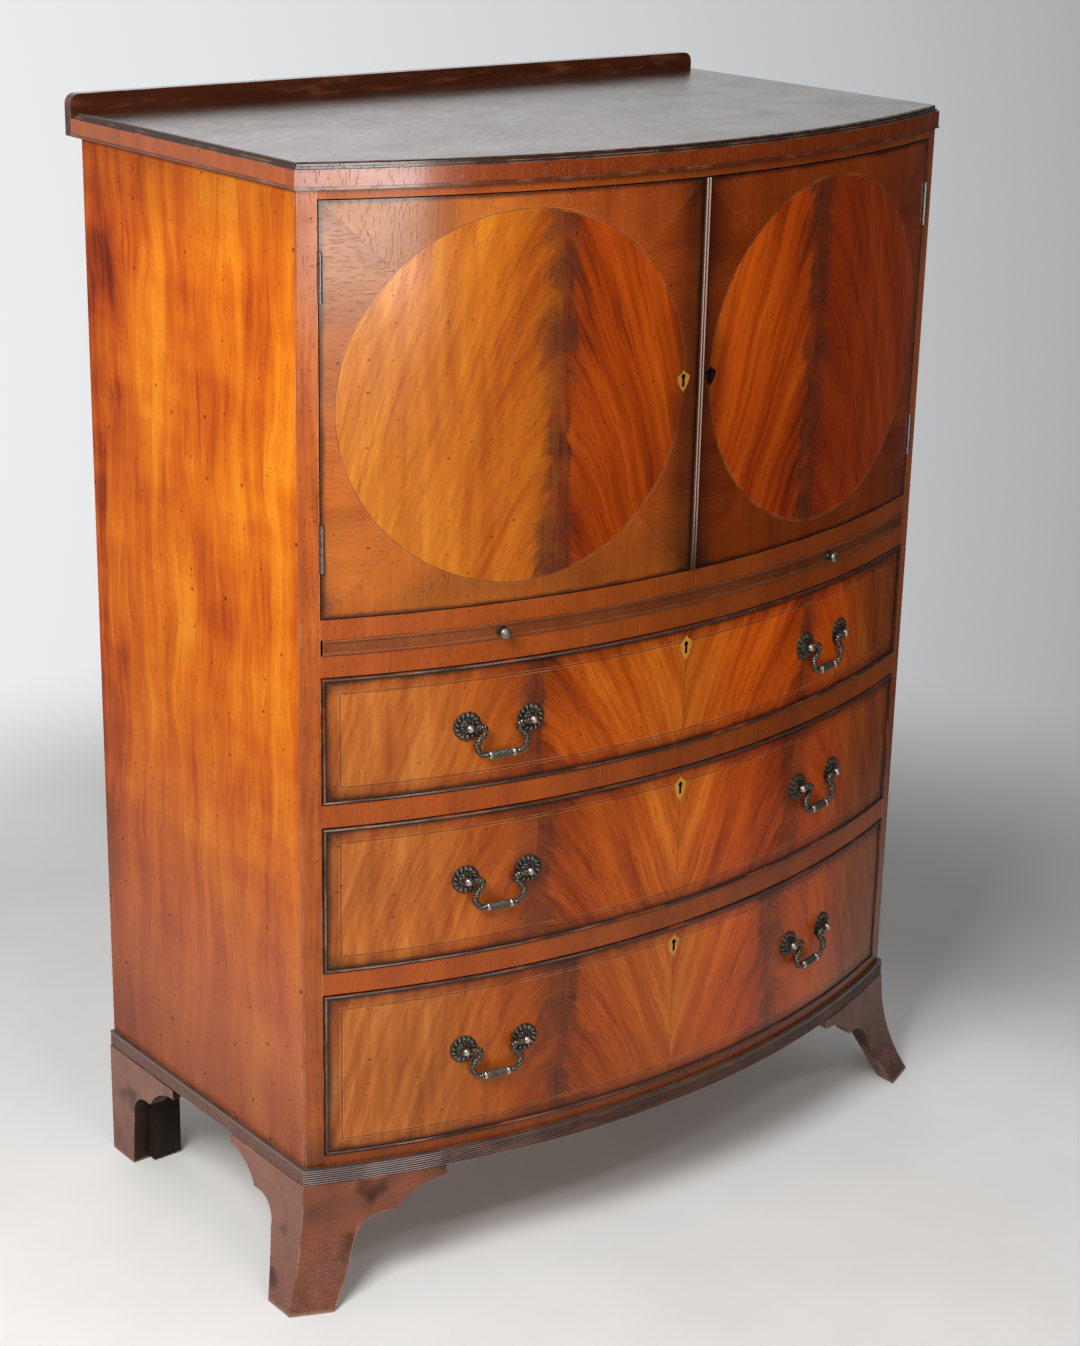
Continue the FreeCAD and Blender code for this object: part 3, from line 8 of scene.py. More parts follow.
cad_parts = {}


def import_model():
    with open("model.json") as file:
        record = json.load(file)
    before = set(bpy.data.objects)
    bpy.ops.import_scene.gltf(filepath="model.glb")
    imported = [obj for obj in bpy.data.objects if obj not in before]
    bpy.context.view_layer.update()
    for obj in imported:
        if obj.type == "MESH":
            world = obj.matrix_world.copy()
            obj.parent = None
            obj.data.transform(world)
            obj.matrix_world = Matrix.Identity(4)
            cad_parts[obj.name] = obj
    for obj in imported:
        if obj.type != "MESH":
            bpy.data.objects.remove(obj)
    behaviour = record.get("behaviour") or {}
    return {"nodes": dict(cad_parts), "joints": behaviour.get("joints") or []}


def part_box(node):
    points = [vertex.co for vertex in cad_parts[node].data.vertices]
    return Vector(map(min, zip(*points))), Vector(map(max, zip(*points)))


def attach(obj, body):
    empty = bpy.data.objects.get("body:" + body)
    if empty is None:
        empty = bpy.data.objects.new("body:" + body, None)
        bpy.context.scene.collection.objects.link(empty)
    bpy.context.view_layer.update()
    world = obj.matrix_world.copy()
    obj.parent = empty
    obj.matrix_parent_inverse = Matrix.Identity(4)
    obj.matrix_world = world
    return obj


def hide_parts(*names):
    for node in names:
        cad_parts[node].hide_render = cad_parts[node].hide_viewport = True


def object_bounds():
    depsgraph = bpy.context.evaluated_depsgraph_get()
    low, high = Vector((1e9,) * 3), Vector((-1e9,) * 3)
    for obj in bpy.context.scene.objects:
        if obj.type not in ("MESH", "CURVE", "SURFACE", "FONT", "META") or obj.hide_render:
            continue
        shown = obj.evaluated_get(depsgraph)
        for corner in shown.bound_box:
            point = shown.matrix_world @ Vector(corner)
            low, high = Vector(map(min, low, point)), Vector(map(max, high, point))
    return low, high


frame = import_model()
CAD_BOX = [list(corner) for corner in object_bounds()]
NODES = frame["nodes"]
JOINTS = {joint["name"]: joint for joint in frame["joints"]}

# A bow front mahogany cabinet, in metres: X across the front, Y to the back, Z up.
# Every veneer is laid out in real sizes, in the cabinet's own coordinates.

DRAWERS = ("lower_drawer", "middle_drawer", "upper_drawer")
SIDES = ("left", "right")
ENDS = (-1, 1)
FULL_TURN = 2 * math.pi
QUARTER_TURN = math.pi / 2
UP = Vector((0.0, 0.0, 1.0))
MM = 0.001

# Photograph's camera, fitted to the corners of the carcass, with its angles in degrees
PHOTO_HEIGHT_PX = 1346
PHOTO_FOCAL_PX = 2612.97
SENSOR_MM = 36.0
CAMERA_PLACE = (-1.7435, -2.14915, 1.5312)
CAMERA_AZIMUTH = -39.2011
CAMERA_ELEVATION = 19.3122
CAMERA_ROLL = 1.2641
CAMERA_FAR_END = 60.0

# Light panels: azimuth and elevation in degrees, distance, width, height and watts
LAMP_AIM = 0.7
LAMPS = {
    "key_light": (-65.0, 36.0, 2.55, 1.0, 1.0, 65.0),
    "front_light": (-12.5, 0.0, 3.2, 1.0, 0.45, 17.0),
    "ceiling_light": (-12.0, 42.0, 2.8, 1.2, 0.2, 7.0),
}

# Room: for each part a direction, the cosines to it between which its level changes, and both levels
ROOM_TINT = (0.975, 0.985, 1.0, 1.0)
ROOM = {
    "backdrop": ((0.10, 0.97, -0.20), (0.58, 0.947), (0.15, 0.90)),
    "ceiling": ((0.0, 0.0, 1.0), (-0.05, 0.20), (1.0, 1.7)),
    "dusk": ((0.87, -0.46, -0.17), (0.55, 0.95), (1.0, 0.25)),
    "glow": ((-0.155, -0.877, -0.454), (0.94, 0.99), (0.0, 0.50)),
}

# Floor
FLOOR_RADIUS = 9.0
FLOOR_SEGMENTS = 96
FLOOR_DROP = 0.0004
FLOOR_MOTTLE = 0.30
FLOOR_TONES = ((0.80, 0.80, 0.785), (0.88, 0.88, 0.865))
FLOOR_FADE_SPAN = (0.9, 1.8)
# Span over which a painted shadow darkens the floor to the right
FLOOR_SHADOW_SPAN = (0.40, 0.80)

# Bow, beads and base moulding, in millimetres
BOW_RADIUS = 1035.511
HALF_WIDTH = 420.0
BEAD_WIDTH = 3.5
BEAD_BASE = 0.45
BEAD_CROWN = 1.42
BEAD_ROOT = 1.0
MOULDING_PROUD = 5.1
MOULDING_HEIGHT = 18.4
FILLET_GAP = 0.01
REED_COUNT = 6
REED_DEPTH_SHARE = 0.3

# The bow's upright axis and the reeds of the moulding, in metres
BOW_AXIS_Y = 0.78486
REED_FOOT = 0.132
REED_PITCH = 0.0154 / REED_COUNT

# Swan neck handles, in millimetres along the handle, out from the pivot and up
HANDLE_CENTRES = 70.0
PIVOT_OUT = 8.4
BALL_RADIUS = 4.5
BALL_END_ANGLE = 0.06
NECK_RADIUS = 2.9
NECK_PLACE = 19.0
ELBOW_RADIUS = 4.5
SWAN_RADIUS = 7.2
SWAN_ANGLE = math.radians(58.0)
HEEL_RADIUS = 11.0
WIRE_RADIUS = 2.9
PIN_RADIUS = 1.8
PIN_REACH = 31.4
PIN_DEPTH = 1.0
PIN_CLEARANCE = 0.4
GRIP_LENGTH = 26.0
GRIP_RADIUS = 4.3
GRIP_RECESS = 1.3
GRIP_BELLY = 0.70
WEAVE_RISE = 1.05
COLLAR_RADIUS = 4.7
COLLAR_HALF = 2.1
COLLAR_ROUNDING = 1.3
RIDGE_RISE = 0.80
RIDGE_RECESS = 0.40
PATH_STEP = 0.4

# Roses behind the posts: heights and radius in millimetres, shares of the radius, twists in radians
ROSE_RADIUS = 15.2
ROSE_PETALS = 14
ROSE_SWIRLS = 8
ROSE_BASE = 0.9
ROSE_ROOT = -0.6
ROSE_HOLE_SHARE = 0.12
PETAL_START_SHARE = 0.50
PETAL_LENGTH_SHARE = 0.52
PETAL_RISE = 2.3
PETAL_TWIST = 0.55
SWIRL_START_SHARE = 0.20
SWIRL_LENGTH_SHARE = 0.36
SWIRL_BASE = 1.3
SWIRL_RISE = 1.5
SWIRL_TWIST = 1.2
BOSS_SHARE = 0.30
BOSS_HEIGHT = 2.6
BOSS_FALL = 1.5
SCALLOP_SHARE = 0.05
SCALLOP_TURN = 0.14

# Turned outlines: radius and height in millimetres, and a factor for the wear
POST_FOOT = [
    (4.6, 1.6, 0.3), (4.9, 2.3, 0.8), (4.4, 3.0, 0.5), (NECK_RADIUS, 3.7, 0.1), (NECK_RADIUS, 4.6, 0.1),
]
NUT_BACK = -22.6
NUT_OUTLINE = [
    (2.2, -4.6, 0.3), (2.2, -4.0, 0.3), (5.2, -4.0, 0.4), (6.0, -3.3, 0.9), (6.0, -0.7, 0.9), (5.2, 0.0, 0.4),
]
KNOB_REACH = 225.0
KNOB_OUTLINE = [
    (3.0, -7.0, 0.0), (3.0, -0.4, 0.0), (6.0, -0.3, 0.2), (6.0, 0.4, 0.7), (5.2, 0.9, 0.8), (3.4, 1.3, 0.2),
    (2.7, 3.0, 0.1), (2.6, 5.2, 0.2), (3.2, 6.4, 0.4), (4.8, 7.4, 0.7), (5.7, 8.8, 1.2), (5.9, 10.0, 1.4),
    (5.5, 11.3, 1.5), (4.2, 12.4, 1.6), (2.2, 12.9, 1.6), (0.5, 13.0, 1.6),
]

# Woods, from their darkest to their palest streak
AMBER = ((0.14, 0.012, 0.001), (0.36, 0.046, 0.001), (0.54, 0.096, 0.002), (0.67, 0.156, 0.003),
         (0.78, 0.236, 0.008))
RUSSET = ((0.16, 0.030, 0.005), (0.34, 0.076, 0.009), (0.48, 0.128, 0.016), (0.60, 0.190, 0.028))
CHESTNUT = ((0.15, 0.022, 0.003), (0.33, 0.058, 0.005), (0.46, 0.098, 0.009), (0.58, 0.150, 0.018))
BANDING = ((0.08, 0.014, 0.003), (0.21, 0.038, 0.005), (0.32, 0.064, 0.008), (0.43, 0.105, 0.016))
RUST = ((0.07, 0.009, 0.001), (0.18, 0.024, 0.002), (0.27, 0.043, 0.003), (0.36, 0.070, 0.006))
DUSKY = ((0.04, 0.009, 0.002), (0.115, 0.026, 0.006), (0.175, 0.043, 0.010), (0.26, 0.072, 0.018))
FOXY = ((0.024, 0.005, 0.002), (0.072, 0.016, 0.006), (0.118, 0.028, 0.011), (0.180, 0.052, 0.023))
PLUM = ((0.010, 0.003, 0.001), (0.038, 0.008, 0.003), (0.070, 0.016, 0.005), (0.130, 0.036, 0.012))
UMBER = ((0.012, 0.004, 0.002), (0.035, 0.010, 0.005), (0.065, 0.021, 0.011), (0.110, 0.042, 0.024))
# Near black pine, as painted shade on the foot blocks under the cabinet
SHADE_BLACK_PINE = ((0.004, 0.003, 0.002), (0.008, 0.006, 0.004), (0.012, 0.009, 0.006), (0.018, 0.014, 0.010))
OAK = ((0.13, 0.065, 0.025), (0.25, 0.140, 0.060), (0.34, 0.205, 0.095), (0.44, 0.285, 0.145))
PINE = ((0.11, 0.050, 0.018), (0.24, 0.130, 0.055), (0.34, 0.200, 0.090), (0.43, 0.270, 0.135))
BOXWOOD = ((0.28, 0.095, 0.008), (0.48, 0.200, 0.020), (0.61, 0.285, 0.036), (0.70, 0.360, 0.060))

# Flame veneers, likewise
FLAME = ((0.15, 0.022, 0.002), (0.39, 0.077, 0.004), (0.56, 0.149, 0.008), (0.71, 0.245, 0.020))
EMBER = ((0.11, 0.010, 0.001), (0.31, 0.037, 0.001), (0.46, 0.068, 0.002), (0.60, 0.120, 0.006))
# Lit and shaded copies of the ember flame, painting the right door's light and shade
LIT_EMBER = ((0.13, 0.012, 0.001), (0.39, 0.046, 0.001), (0.57, 0.080, 0.002), (0.72, 0.145, 0.006))
SHADED_EMBER = ((0.08, 0.006, 0.001), (0.24, 0.022, 0.001), (0.35, 0.040, 0.002), (0.46, 0.070, 0.004))
DRAWER_FLAME = ((0.12, 0.012, 0.001), (0.33, 0.048, 0.002), (0.49, 0.092, 0.004), (0.64, 0.160, 0.012))

# Metals, patina and rubbed
STEEL = ((0.16, 0.15, 0.14), (0.42, 0.41, 0.40))
LOCK_BRASS = ((0.20, 0.12, 0.04), (0.55, 0.38, 0.15))
BRONZE = ((0.070, 0.060, 0.047), (0.46, 0.40, 0.33))

# Single colours of dirt, wear and inlay, and of painted highlights, reflections, light and shade
INK = (0.012, 0.005, 0.003)
FEATHER = (0.105, 0.026, 0.010)
STRING_PALE = (0.66, 0.25, 0.075)
# Pale edges: wear and a painted highlight
EDGE_WEAR_AND_HIGHLIGHT = (0.52, 0.30, 0.17)
# Pale crowns of the closing bead: wear and a painted highlight
CROWN_WEAR_AND_HIGHLIGHT = (0.60, 0.40, 0.31)
# Painted highlight on the cockbeads' crowns
BEAD_CROWN_HIGHLIGHT = (0.38, 0.29, 0.22)
# Painted glint on the reed crowns, and painted light on the side reeds
REED_GLINT = (0.52, 0.50, 0.50)
REED_SIDE_LIGHT = (0.27, 0.135, 0.100)
# Grey of dust and of a painted reflection of the backdrop on the top
TOP_DUST_AND_SHEEN = (0.24, 0.205, 0.185)
# Painted reflection of the pale floor on the lower part of the sides
SIDE_FLOOR_REFLECTION = (0.37, 0.122, 0.070)
# Pale scuff, also used as painted light on the feet's side faces
SCUFF_AND_LIGHT = (0.33, 0.18, 0.14)
BARE_WOOD = (0.34, 0.22, 0.14)

# Clear stains, and glazes for painted haze and shade, as a factor for each channel
# Glaze for a painted haze of the key lamp on the drawers' left ends
GOLDEN_HAZE_GLAZE = (0.95, 1.36, 4.2)
RUDDY_STAIN = (1.38, 1.14, 0.80)
BORDER_STAIN = (0.90, 0.80, 0.78)
GOLDEN_DOOR_STAIN = (0.97, 1.04, 0.95)
LOW_OVAL_STAIN = (0.72, 0.62, 0.60)
MEETING_STAIN = (0.74, 0.50, 0.45)
HIGH_FIELD_STAIN = (0.72, 0.84, 1.0)
LOW_FIELD_STAIN = (1.18, 1.15, 0.80)
# Glaze for painted shade on the front of the fascia
FASCIA_SHADE_GLAZE = (0.62, 0.46, 0.40)

# Tints of the polish's reflections
POLISH_TINT = (1.0, 0.80, 0.62)
BEAD_TINT = (1.0, 0.92, 0.84)
DARK_TINT = (1.0, 0.94, 0.88)
DOOR_TINT = (1.0, 0.98, 0.94)
TOP_TINT = (1.0, 0.98, 0.96)
CLEAR_TINT = (1.0, 1.0, 1.0)

# Sizes of blotches, lines, specks and reliefs that the finishes share, in metres
BLOTCH = 0.05
SMUDGE = 0.035
PATCH = 0.03
FLECK = 0.02
LINE_SOFTNESS = 0.0002
SPECK_SPACING = 0.017
CLOSE_SPECK_SPACING = 0.014
EDGE_PALE_RADIUS = 0.0012
SMOOTH_RELIEF = 0.00001

# Specks, then scratches: stretch, slant, the least chance that makes one, and size in shares of the spacing
SPECK_SHARES = ((1.0, 0.0, 0.56, 0.15), (4.5, 0.6, 0.76, 0.34))

# Layout of the veneers, in metres. Rises say how steeply a flame falls away on its inner and outer side.
STRING_INSET = 0.0134
STRING_HALF_WIDTH = 0.0013
JOINT_HALF_WIDTH = 0.0004
MITRE_HALF_WIDTH = 0.0003
OVAL_PLACE = 0.2024
OVAL_RISE = 0.002
OVAL_HALF_WIDTH = 0.1856
OVAL_HALF_HEIGHT = 0.1830
DOOR_FEATHER_WIDTH = 0.0135
DOOR_RISES = (6.8, 5.0)
DRAWER_RISES = (4.4, 5.2)

# Drawer flames: left and right feather's distance from the middle, feather's width, seed and strength; the
# strength is lower on lower drawers as painted shade
DRAWER_FIGURES = {
    "upper_drawer": ((0.185, 0.193), 0.0085, 23.2, 1.0),
    "middle_drawer": ((0.181, 0.183), 0.0180, 31.6, 0.96),
    "lower_drawer": ((0.150, 0.158), 0.0170, 41.4, 0.84),
}


def joining(operation, swapped=False):
    """A method that joins a wire to another value by one operation."""

    def join(self, other):
        pair = (other, self) if swapped else (self, other)
        return self.paint.math(operation, *pair)

    return join


class Wire:
    """One value inside a node tree. Sums, products and the like of wires become nodes."""

    __add__ = joining("ADD")
    __radd__ = joining("ADD", swapped=True)
    __sub__ = joining("SUBTRACT")
    __rsub__ = joining("SUBTRACT", swapped=True)
    __mul__ = joining("MULTIPLY")
    __rmul__ = joining("MULTIPLY", swapped=True)
    __truediv__ = joining("DIVIDE")
    __pow__ = joining("POWER")
    least = joining("MINIMUM")
    most = joining("MAXIMUM")
    above = joining("GREATER_THAN")

    def __init__(self, paint, socket):
        self.paint = paint
        self.socket = socket

    def __abs__(self):
        return self.paint.math("ABSOLUTE", self, 0.0)

    def swing(self, reach):
        """Noise from 0 to 1 made into a swing about zero."""
        return (self - 0.5) * reach


class NodeTree:
    """A tree of shader nodes, with short words for adding to it."""

    def __init__(self, tree):
        self.tree = tree

    def node(self, kind):
        return self.tree.nodes.new(kind)

    def link(self, source, target):
        self.tree.links.new(source, target)

    def feed(self, value, socket):
        if isinstance(value, Wire):
            self.link(value.socket, socket)
        elif isinstance(value, tuple) and len(value) == 3 and len(socket.default_value) == 4:
            socket.default_value = (*value, 1.0)
        else:
            socket.default_value = value

    def math(self, operation, first, second):
        node = self.node("ShaderNodeMath")
        node.operation = operation
        self.feed(first, node.inputs[0])
        self.feed(second, node.inputs[1])
        return Wire(self, node.outputs[0])

    def vector_math(self, operation):
        node = self.node("ShaderNodeVectorMath")
        node.operation = operation
        return node

    def toward(self, direction, span, levels):
        """A level that changes between two cosines as the view turns to a direction."""
        facing = self.vector_math("DOT_PRODUCT")
        self.link(self.node("ShaderNodeTexCoord").outputs["Generated"], facing.inputs[0])
        facing.inputs[1].default_value = direction
        level = self.node("ShaderNodeMapRange")
        for name, number in zip(("From Min", "From Max", "To Min", "To Max"), (*span, *levels)):
            level.inputs[name].default_value = number
        self.link(facing.outputs["Value"], level.inputs["Value"])
        return Wire(self, level.outputs[0])


class Paint(NodeTree):
    """A material being made, with short words for the nodes that the finishes share."""

    flat_cosine = 0.99
    sharp_cosine = 0.88
    bevel_samples = 4

    def __init__(self, name):
        self.material = bpy.data.materials.new(name)
        self.material.use_nodes = True
        super().__init__(self.material.node_tree)
        self.shader = self.tree.nodes["Principled BSDF"]
        self.x, self.y, self.z = self.split(self.node("ShaderNodeTexCoord").outputs["Object"])

    def split(self, vector):
        node = self.node("ShaderNodeSeparateXYZ")
        self.link(vector, node.inputs[0])
        return [Wire(self, output) for output in node.outputs]

    def normal(self):
        return self.split(self.node("ShaderNodeNewGeometry").outputs["Normal"])

    def sharp_edge(self, radius):
        """1 along sharp edges, 0 on flat faces."""
        bevel = self.node("ShaderNodeBevel")
        bevel.samples = self.bevel_samples
        bevel.inputs["Radius"].default_value = radius
        facing = self.vector_math("DOT_PRODUCT")
        self.link(bevel.outputs[0], facing.inputs[0])
        self.link(self.node("ShaderNodeNewGeometry").outputs["Normal"], facing.inputs[1])
        return self.smooth(self.flat_cosine, self.sharp_cosine, Wire(self, facing.outputs["Value"]))

    def noise(self, *coordinates, detail=2.0, roughness=0.5):
        """Smooth noise from 0 to 1, with coordinates already divided by its wavelengths."""
        vector = self.node("ShaderNodeCombineXYZ")
        for value, socket in zip(coordinates, vector.inputs):
            self.feed(value, socket)
        node = self.node("ShaderNodeTexNoise")
        self.link(vector.outputs[0], node.inputs["Vector"])
        node.inputs["Scale"].default_value = 1.0
        node.inputs["Detail"].default_value = detail
        node.inputs["Roughness"].default_value = roughness
        return Wire(self, node.outputs[0])

    def cloud(self, size, detail=3.0, shift=0.0):
        """Noise of one size in all directions."""
        return self.noise(self.x / size + shift, self.y / size, self.z / size, detail=detail)

    def smooth(self, low, high, value):
        """A soft step from 0 at low to 1 at high."""
        node = self.node("ShaderNodeMapRange")
        node.interpolation_type = "SMOOTHSTEP"
        self.feed(value, node.inputs["Value"])
        self.feed(low, node.inputs["From Min"])
        self.feed(high, node.inputs["From Max"])
        return Wire(self, node.outputs[0])

    def line(self, distance, half_width):
        """1 on a thin line where a distance is zero."""
        return self.smooth(half_width + LINE_SOFTNESS, half_width - LINE_SOFTNESS, abs(distance))

    def mix(self, share, first, second):
        node = self.node("ShaderNodeMix")
        node.data_type = "RGBA"
        colour_sockets = [socket for socket in node.inputs if socket.type == "RGBA"]
        self.feed(share, node.inputs[0])
        self.feed(first, colour_sockets[0])
        self.feed(second, colour_sockets[1])
        return Wire(self, [socket for socket in node.outputs if socket.type == "RGBA"][0])

    def blend(self, share, first, second):
        return first + (second - first) * share

    def tint(self, colour, strength):
        """A colour made lighter or darker."""
        node = self.vector_math("SCALE")
        self.feed(colour, node.inputs[0])
        self.feed(strength, node.inputs["Scale"])
        return Wire(self, node.outputs[0])

    def glaze(self, share, colour, stain):
        """A colour seen through a clear stain."""
        node = self.vector_math("MULTIPLY")
        self.feed(colour, node.inputs[0])
        self.feed(stain, node.inputs[1])
        return self.mix(share, colour, Wire(self, node.outputs[0]))

    def ramp(self, value, colours, low=0.28, high=0.72):
        node = self.node("ShaderNodeValToRGB")
        stops = node.color_ramp.elements
        step = (high - low) / (len(colours) - 1)
        stops[0].position = low
        stops[0].color = (*colours[0], 1.0)
        stops[1].position = high
        stops[1].color = (*colours[-1], 1.0)
        for index, colour in enumerate(colours[1:-1], start=1):
            stop = stops.new(low + step * index)
            stop.color = (*colour, 1.0)
        self.feed(value, node.inputs[0])
        return Wire(self, node.outputs[0])

    def finish(self, colour, height, roughness, depth=0.0001, specular=0.5, tint=POLISH_TINT, metal=0.0):
        """Join colour, bump and sheen to the shader. Height is in units of depth, in metres."""
        self.feed(colour, self.shader.inputs["Base Color"])
        self.feed(roughness, self.shader.inputs["Roughness"])
        self.shader.inputs["Metallic"].default_value = metal
        self.shader.inputs["Specular IOR Level"].default_value = specular
        self.shader.inputs["Specular Tint"].default_value = (*tint, 1.0)
        bump = self.node("ShaderNodeBump")
        bump.inputs["Distance"].default_value = depth
        bump.inputs["Strength"].default_value = 1.0
        self.feed(height, bump.inputs["Height"])
        self.link(bump.outputs[0], self.shader.inputs["Normal"])
        return self.material


class Figure:
    """What a wood's finish needs of its figure: fibres, pores and their relief."""

    fibre_relief_share = 0.3
    pore_relief_share = 0.8

    def height(self):
        return self.fibre * self.fibre_relief_share - self.pore * self.pore_relief_share


class Grain(Figure):
    """Mahogany figure on lines of grain: broad streaks, fine fibres, pores and ripple across the grain.

    Sizes are wavelengths along and across the grain.
    """

    fibre_relief_share = 0.35
    streak_sizes, fibre_sizes, pore_sizes = (0.45, 0.020), (0.10, 0.0024), (0.009, 0.0009)
    ripple_sizes, sway_sizes, sway_reach = (0.030, 0.16), (0.30, 0.10), 0.016
    pore_gate = (0.66, 0.76)

    def __init__(self, p, along, across, depth=0.0, streak=1.0, seed=0.0):
        def strands(sizes, widening=1.0, **noise):
            return p.noise(along / sizes[0], across / (sizes[1] * widening), through, **noise)

        through = seed
        across = across + strands(self.sway_sizes, detail=1.0).swing(self.sway_reach)
        if isinstance(depth, Wire):
            through = depth / self.streak_sizes[1] + seed
        self.streak = strands(self.streak_sizes, streak, detail=4.0, roughness=0.55)
        self.fibre = strands(self.fibre_sizes)
        self.pore = p.smooth(*self.pore_gate, strands(self.pore_sizes, detail=0.0))
        self.ripple = strands(self.ripple_sizes, detail=1.0)

    def value(self, streak=0.6, fibre=0.25, ripple=0.1):
        """Tone about 0.5, with a share for each part of the figure."""
        return self.streak.swing(streak) + self.fibre.swing(fibre) + self.ripple.swing(ripple) + 0.5


class Flame(Figure):
    """Crotch figure: a dark feather with strands that arch over it and fall away on both sides.

    Out is the distance from the feather's middle, positive on the outer side, where the feather's edge is
    soft and the figure calmer. Rises give how steeply the strands fall away on the inner and the outer side.
    """

    wander_height, swell_height, depth_height = 0.15, 0.09, 0.06
    swirl_sizes, bold_sizes = (0.10, 0.13), (0.08, 0.10)
    curl_sizes, crack_sizes = (0.012, 0.14), (0.0030, 0.06)
    broad_sizes, streak_sizes, ragged_sizes = (0.080, 0.11), (0.022, 0.09), (0.015, 0.03)
    fibre_sizes, pore_sizes = (0.0046, 0.050), (0.0018, 0.006)
    swirl_reach, paling_reach, curl_span = 0.055, 0.15, (0.02, 0.10)
    pore_gate, tone_range = (0.64, 0.74), (0.25, 0.75)

    def __init__(self, p, out, z, rises, width, seed, inner, outer):
        out = out + p.noise(z / self.wander_height, seed, 0.0).swing(width) * 1.4
        reach = abs(out)
        side = out.above(0.0)
        half = side * 3.7 + seed

        def spots(sizes, place, **noise):
            return p.noise(out / sizes[0], z / sizes[1], place, **noise)

        def strands(sizes, place=half, **noise):
            return p.noise(strand / sizes[0], reach / sizes[1], place, **noise)

        swirl = spots(self.swirl_sizes, seed)
        strand = z + reach ** 1.5 * p.blend(side, *rises) + swirl.swing(self.swirl_reach)
        broad = strands(self.broad_sizes, detail=3.0, roughness=0.55)
        streak = strands(self.streak_sizes, detail=4.0, roughness=0.62)
        self.fibre = strands(self.fibre_sizes, detail=3.0, roughness=0.6)
        self.pore = p.smooth(*self.pore_gate, strands(self.pore_sizes, detail=0.0))
        bold = spots(self.bold_sizes, half + 2.0, detail=1.0) + 0.45
        value = broad.swing(0.75) + (streak.swing(0.58) + self.fibre.swing(0.30)) * bold
        curl = spots(self.curl_sizes, half + 7.0, detail=1.0).swing(p.smooth(*self.curl_span, out)) * 0.30
        value = value * p.blend(side, 1.0, 0.62) + curl + 0.5
        value = value + p.smooth(0.0, self.paling_reach, reach) * 0.11 - 0.045
        tones = [p.ramp(value, colours, *self.tone_range) for colours in (inner, outer)]
        colour = p.mix(p.smooth(width * -0.5, width * 0.5, out), *tones)
        ragged = strands(self.ragged_sizes, half + 5.0, detail=4.0, roughness=0.7)
        crack = spots(self.crack_sizes, seed + 1.0, detail=3.0)
        self.colour = self.feathered(p, colour, reach, z, side, ragged, crack, width, seed)

    def feathered(self, p, colour, reach, z, side, ragged, crack, width, seed):
        """The dark feather over the strands: ragged, sharp on its inner side, with a veil and dark cracks."""
        swell = p.noise(z / self.swell_height, seed + 9.0, 0.0)
        depth = p.noise(z / self.depth_height, seed + 4.0, 0.0)
        half_width = (swell * 1.9 + 0.1) * width
        near = p.smooth(half_width * 1.25, half_width * 0.80, reach + ragged.swing(width) * 2.6)
        soft_reach = reach + ragged.swing(width) * 3.6
        far = p.smooth(half_width * 1.7, half_width * 0.6, soft_reach)
        veil = p.smooth(width * 3.8, 0.0, soft_reach) * 0.22
        heart = p.mix(p.smooth(0.46, 0.68, crack) * 0.70, FEATHER, INK)
        dark = p.blend(side, near, far) * (p.smooth(0.30, 0.70, depth) * 0.60 + 0.36)
        return p.mix(dark, p.mix(veil, colour, FEATHER), heart)


class Blend(Figure):
    """Two figures side by side: their pores and fibres where each lies."""

    def __init__(self, p, share, first, second):
        self.pore = p.blend(share, first.pore, second.pore)
        self.fibre = p.blend(share, first.fibre, second.fibre)


def hypotenuse(first, second):
    return (first * first + second * second) ** 0.5


def edge_distances(p, low, high):
    """Distances to the nearer upright edge and the nearer level edge of a front."""
    return (high.x - p.x).least(p.x - low.x), (p.z - low.z).least(high.z - p.z)


def polish(p, colour, grain, wear=0.0, sheen=0.24, specular=0.36, tint=POLISH_TINT):
    """Old french polish over wood: pores stay dark, and worn places are duller."""
    pored = p.mix(grain.pore * 0.30, colour, INK)
    rough = p.cloud(BLOTCH).swing(0.16) + sheen + grain.fibre * 0.05
    if isinstance(wear, Wire):
        rough = rough + wear * 0.25
    return p.finish(pored, grain.height(), rough, specular=specular, tint=tint)


def darkened(p, colour, distance, reach, strength):
    """Dirt and painted shade near an edge, uneven along it."""
    near = p.smooth(reach, 0.0, distance + p.cloud(SMUDGE).swing(reach))
    return p.mix(near * strength, colour, INK)


def edge_wear_and_highlight(p, colour, radius=EDGE_PALE_RADIUS, strength=0.8):
    """Sharp edges made pale here and there, partly wear and partly a painted highlight, and dark between."""
    gate = p.smooth(0.46, 0.62, p.cloud(SMUDGE, shift=4.0))
    edge = p.sharp_edge(radius)
    return p.mix(edge * gate * strength, colour, EDGE_WEAR_AND_HIGHLIGHT)


def speckled(p, colour, spacing=SPECK_SPACING, flat=False):
    """Small dark dents and specks, and a few short scratches, scattered as on a distressed finish."""
    along = p.x if flat else p.x + p.y
    up = p.y if flat else p.z
    for stretch, slant, least_chance, radius in SPECK_SHARES:
        vector = p.node("ShaderNodeCombineXYZ")
        p.feed((along + up * slant) / spacing, vector.inputs[0])
        p.feed((up - along * slant) / spacing * stretch, vector.inputs[1])
        cells = p.node("ShaderNodeTexVoronoi")
        cells.voronoi_dimensions = "2D"
        cells.inputs["Scale"].default_value = 1.0
        p.link(vector.outputs[0], cells.inputs["Vector"])
        chance, strength, _ = p.split(cells.outputs["Color"])
        size = (chance - least_chance) * radius
        mark = p.smooth(-0.010, 0.010, size - Wire(p, cells.outputs["Distance"]))
        colour = p.mix(mark * (strength * 0.5 + 0.45), colour, INK)
    return colour


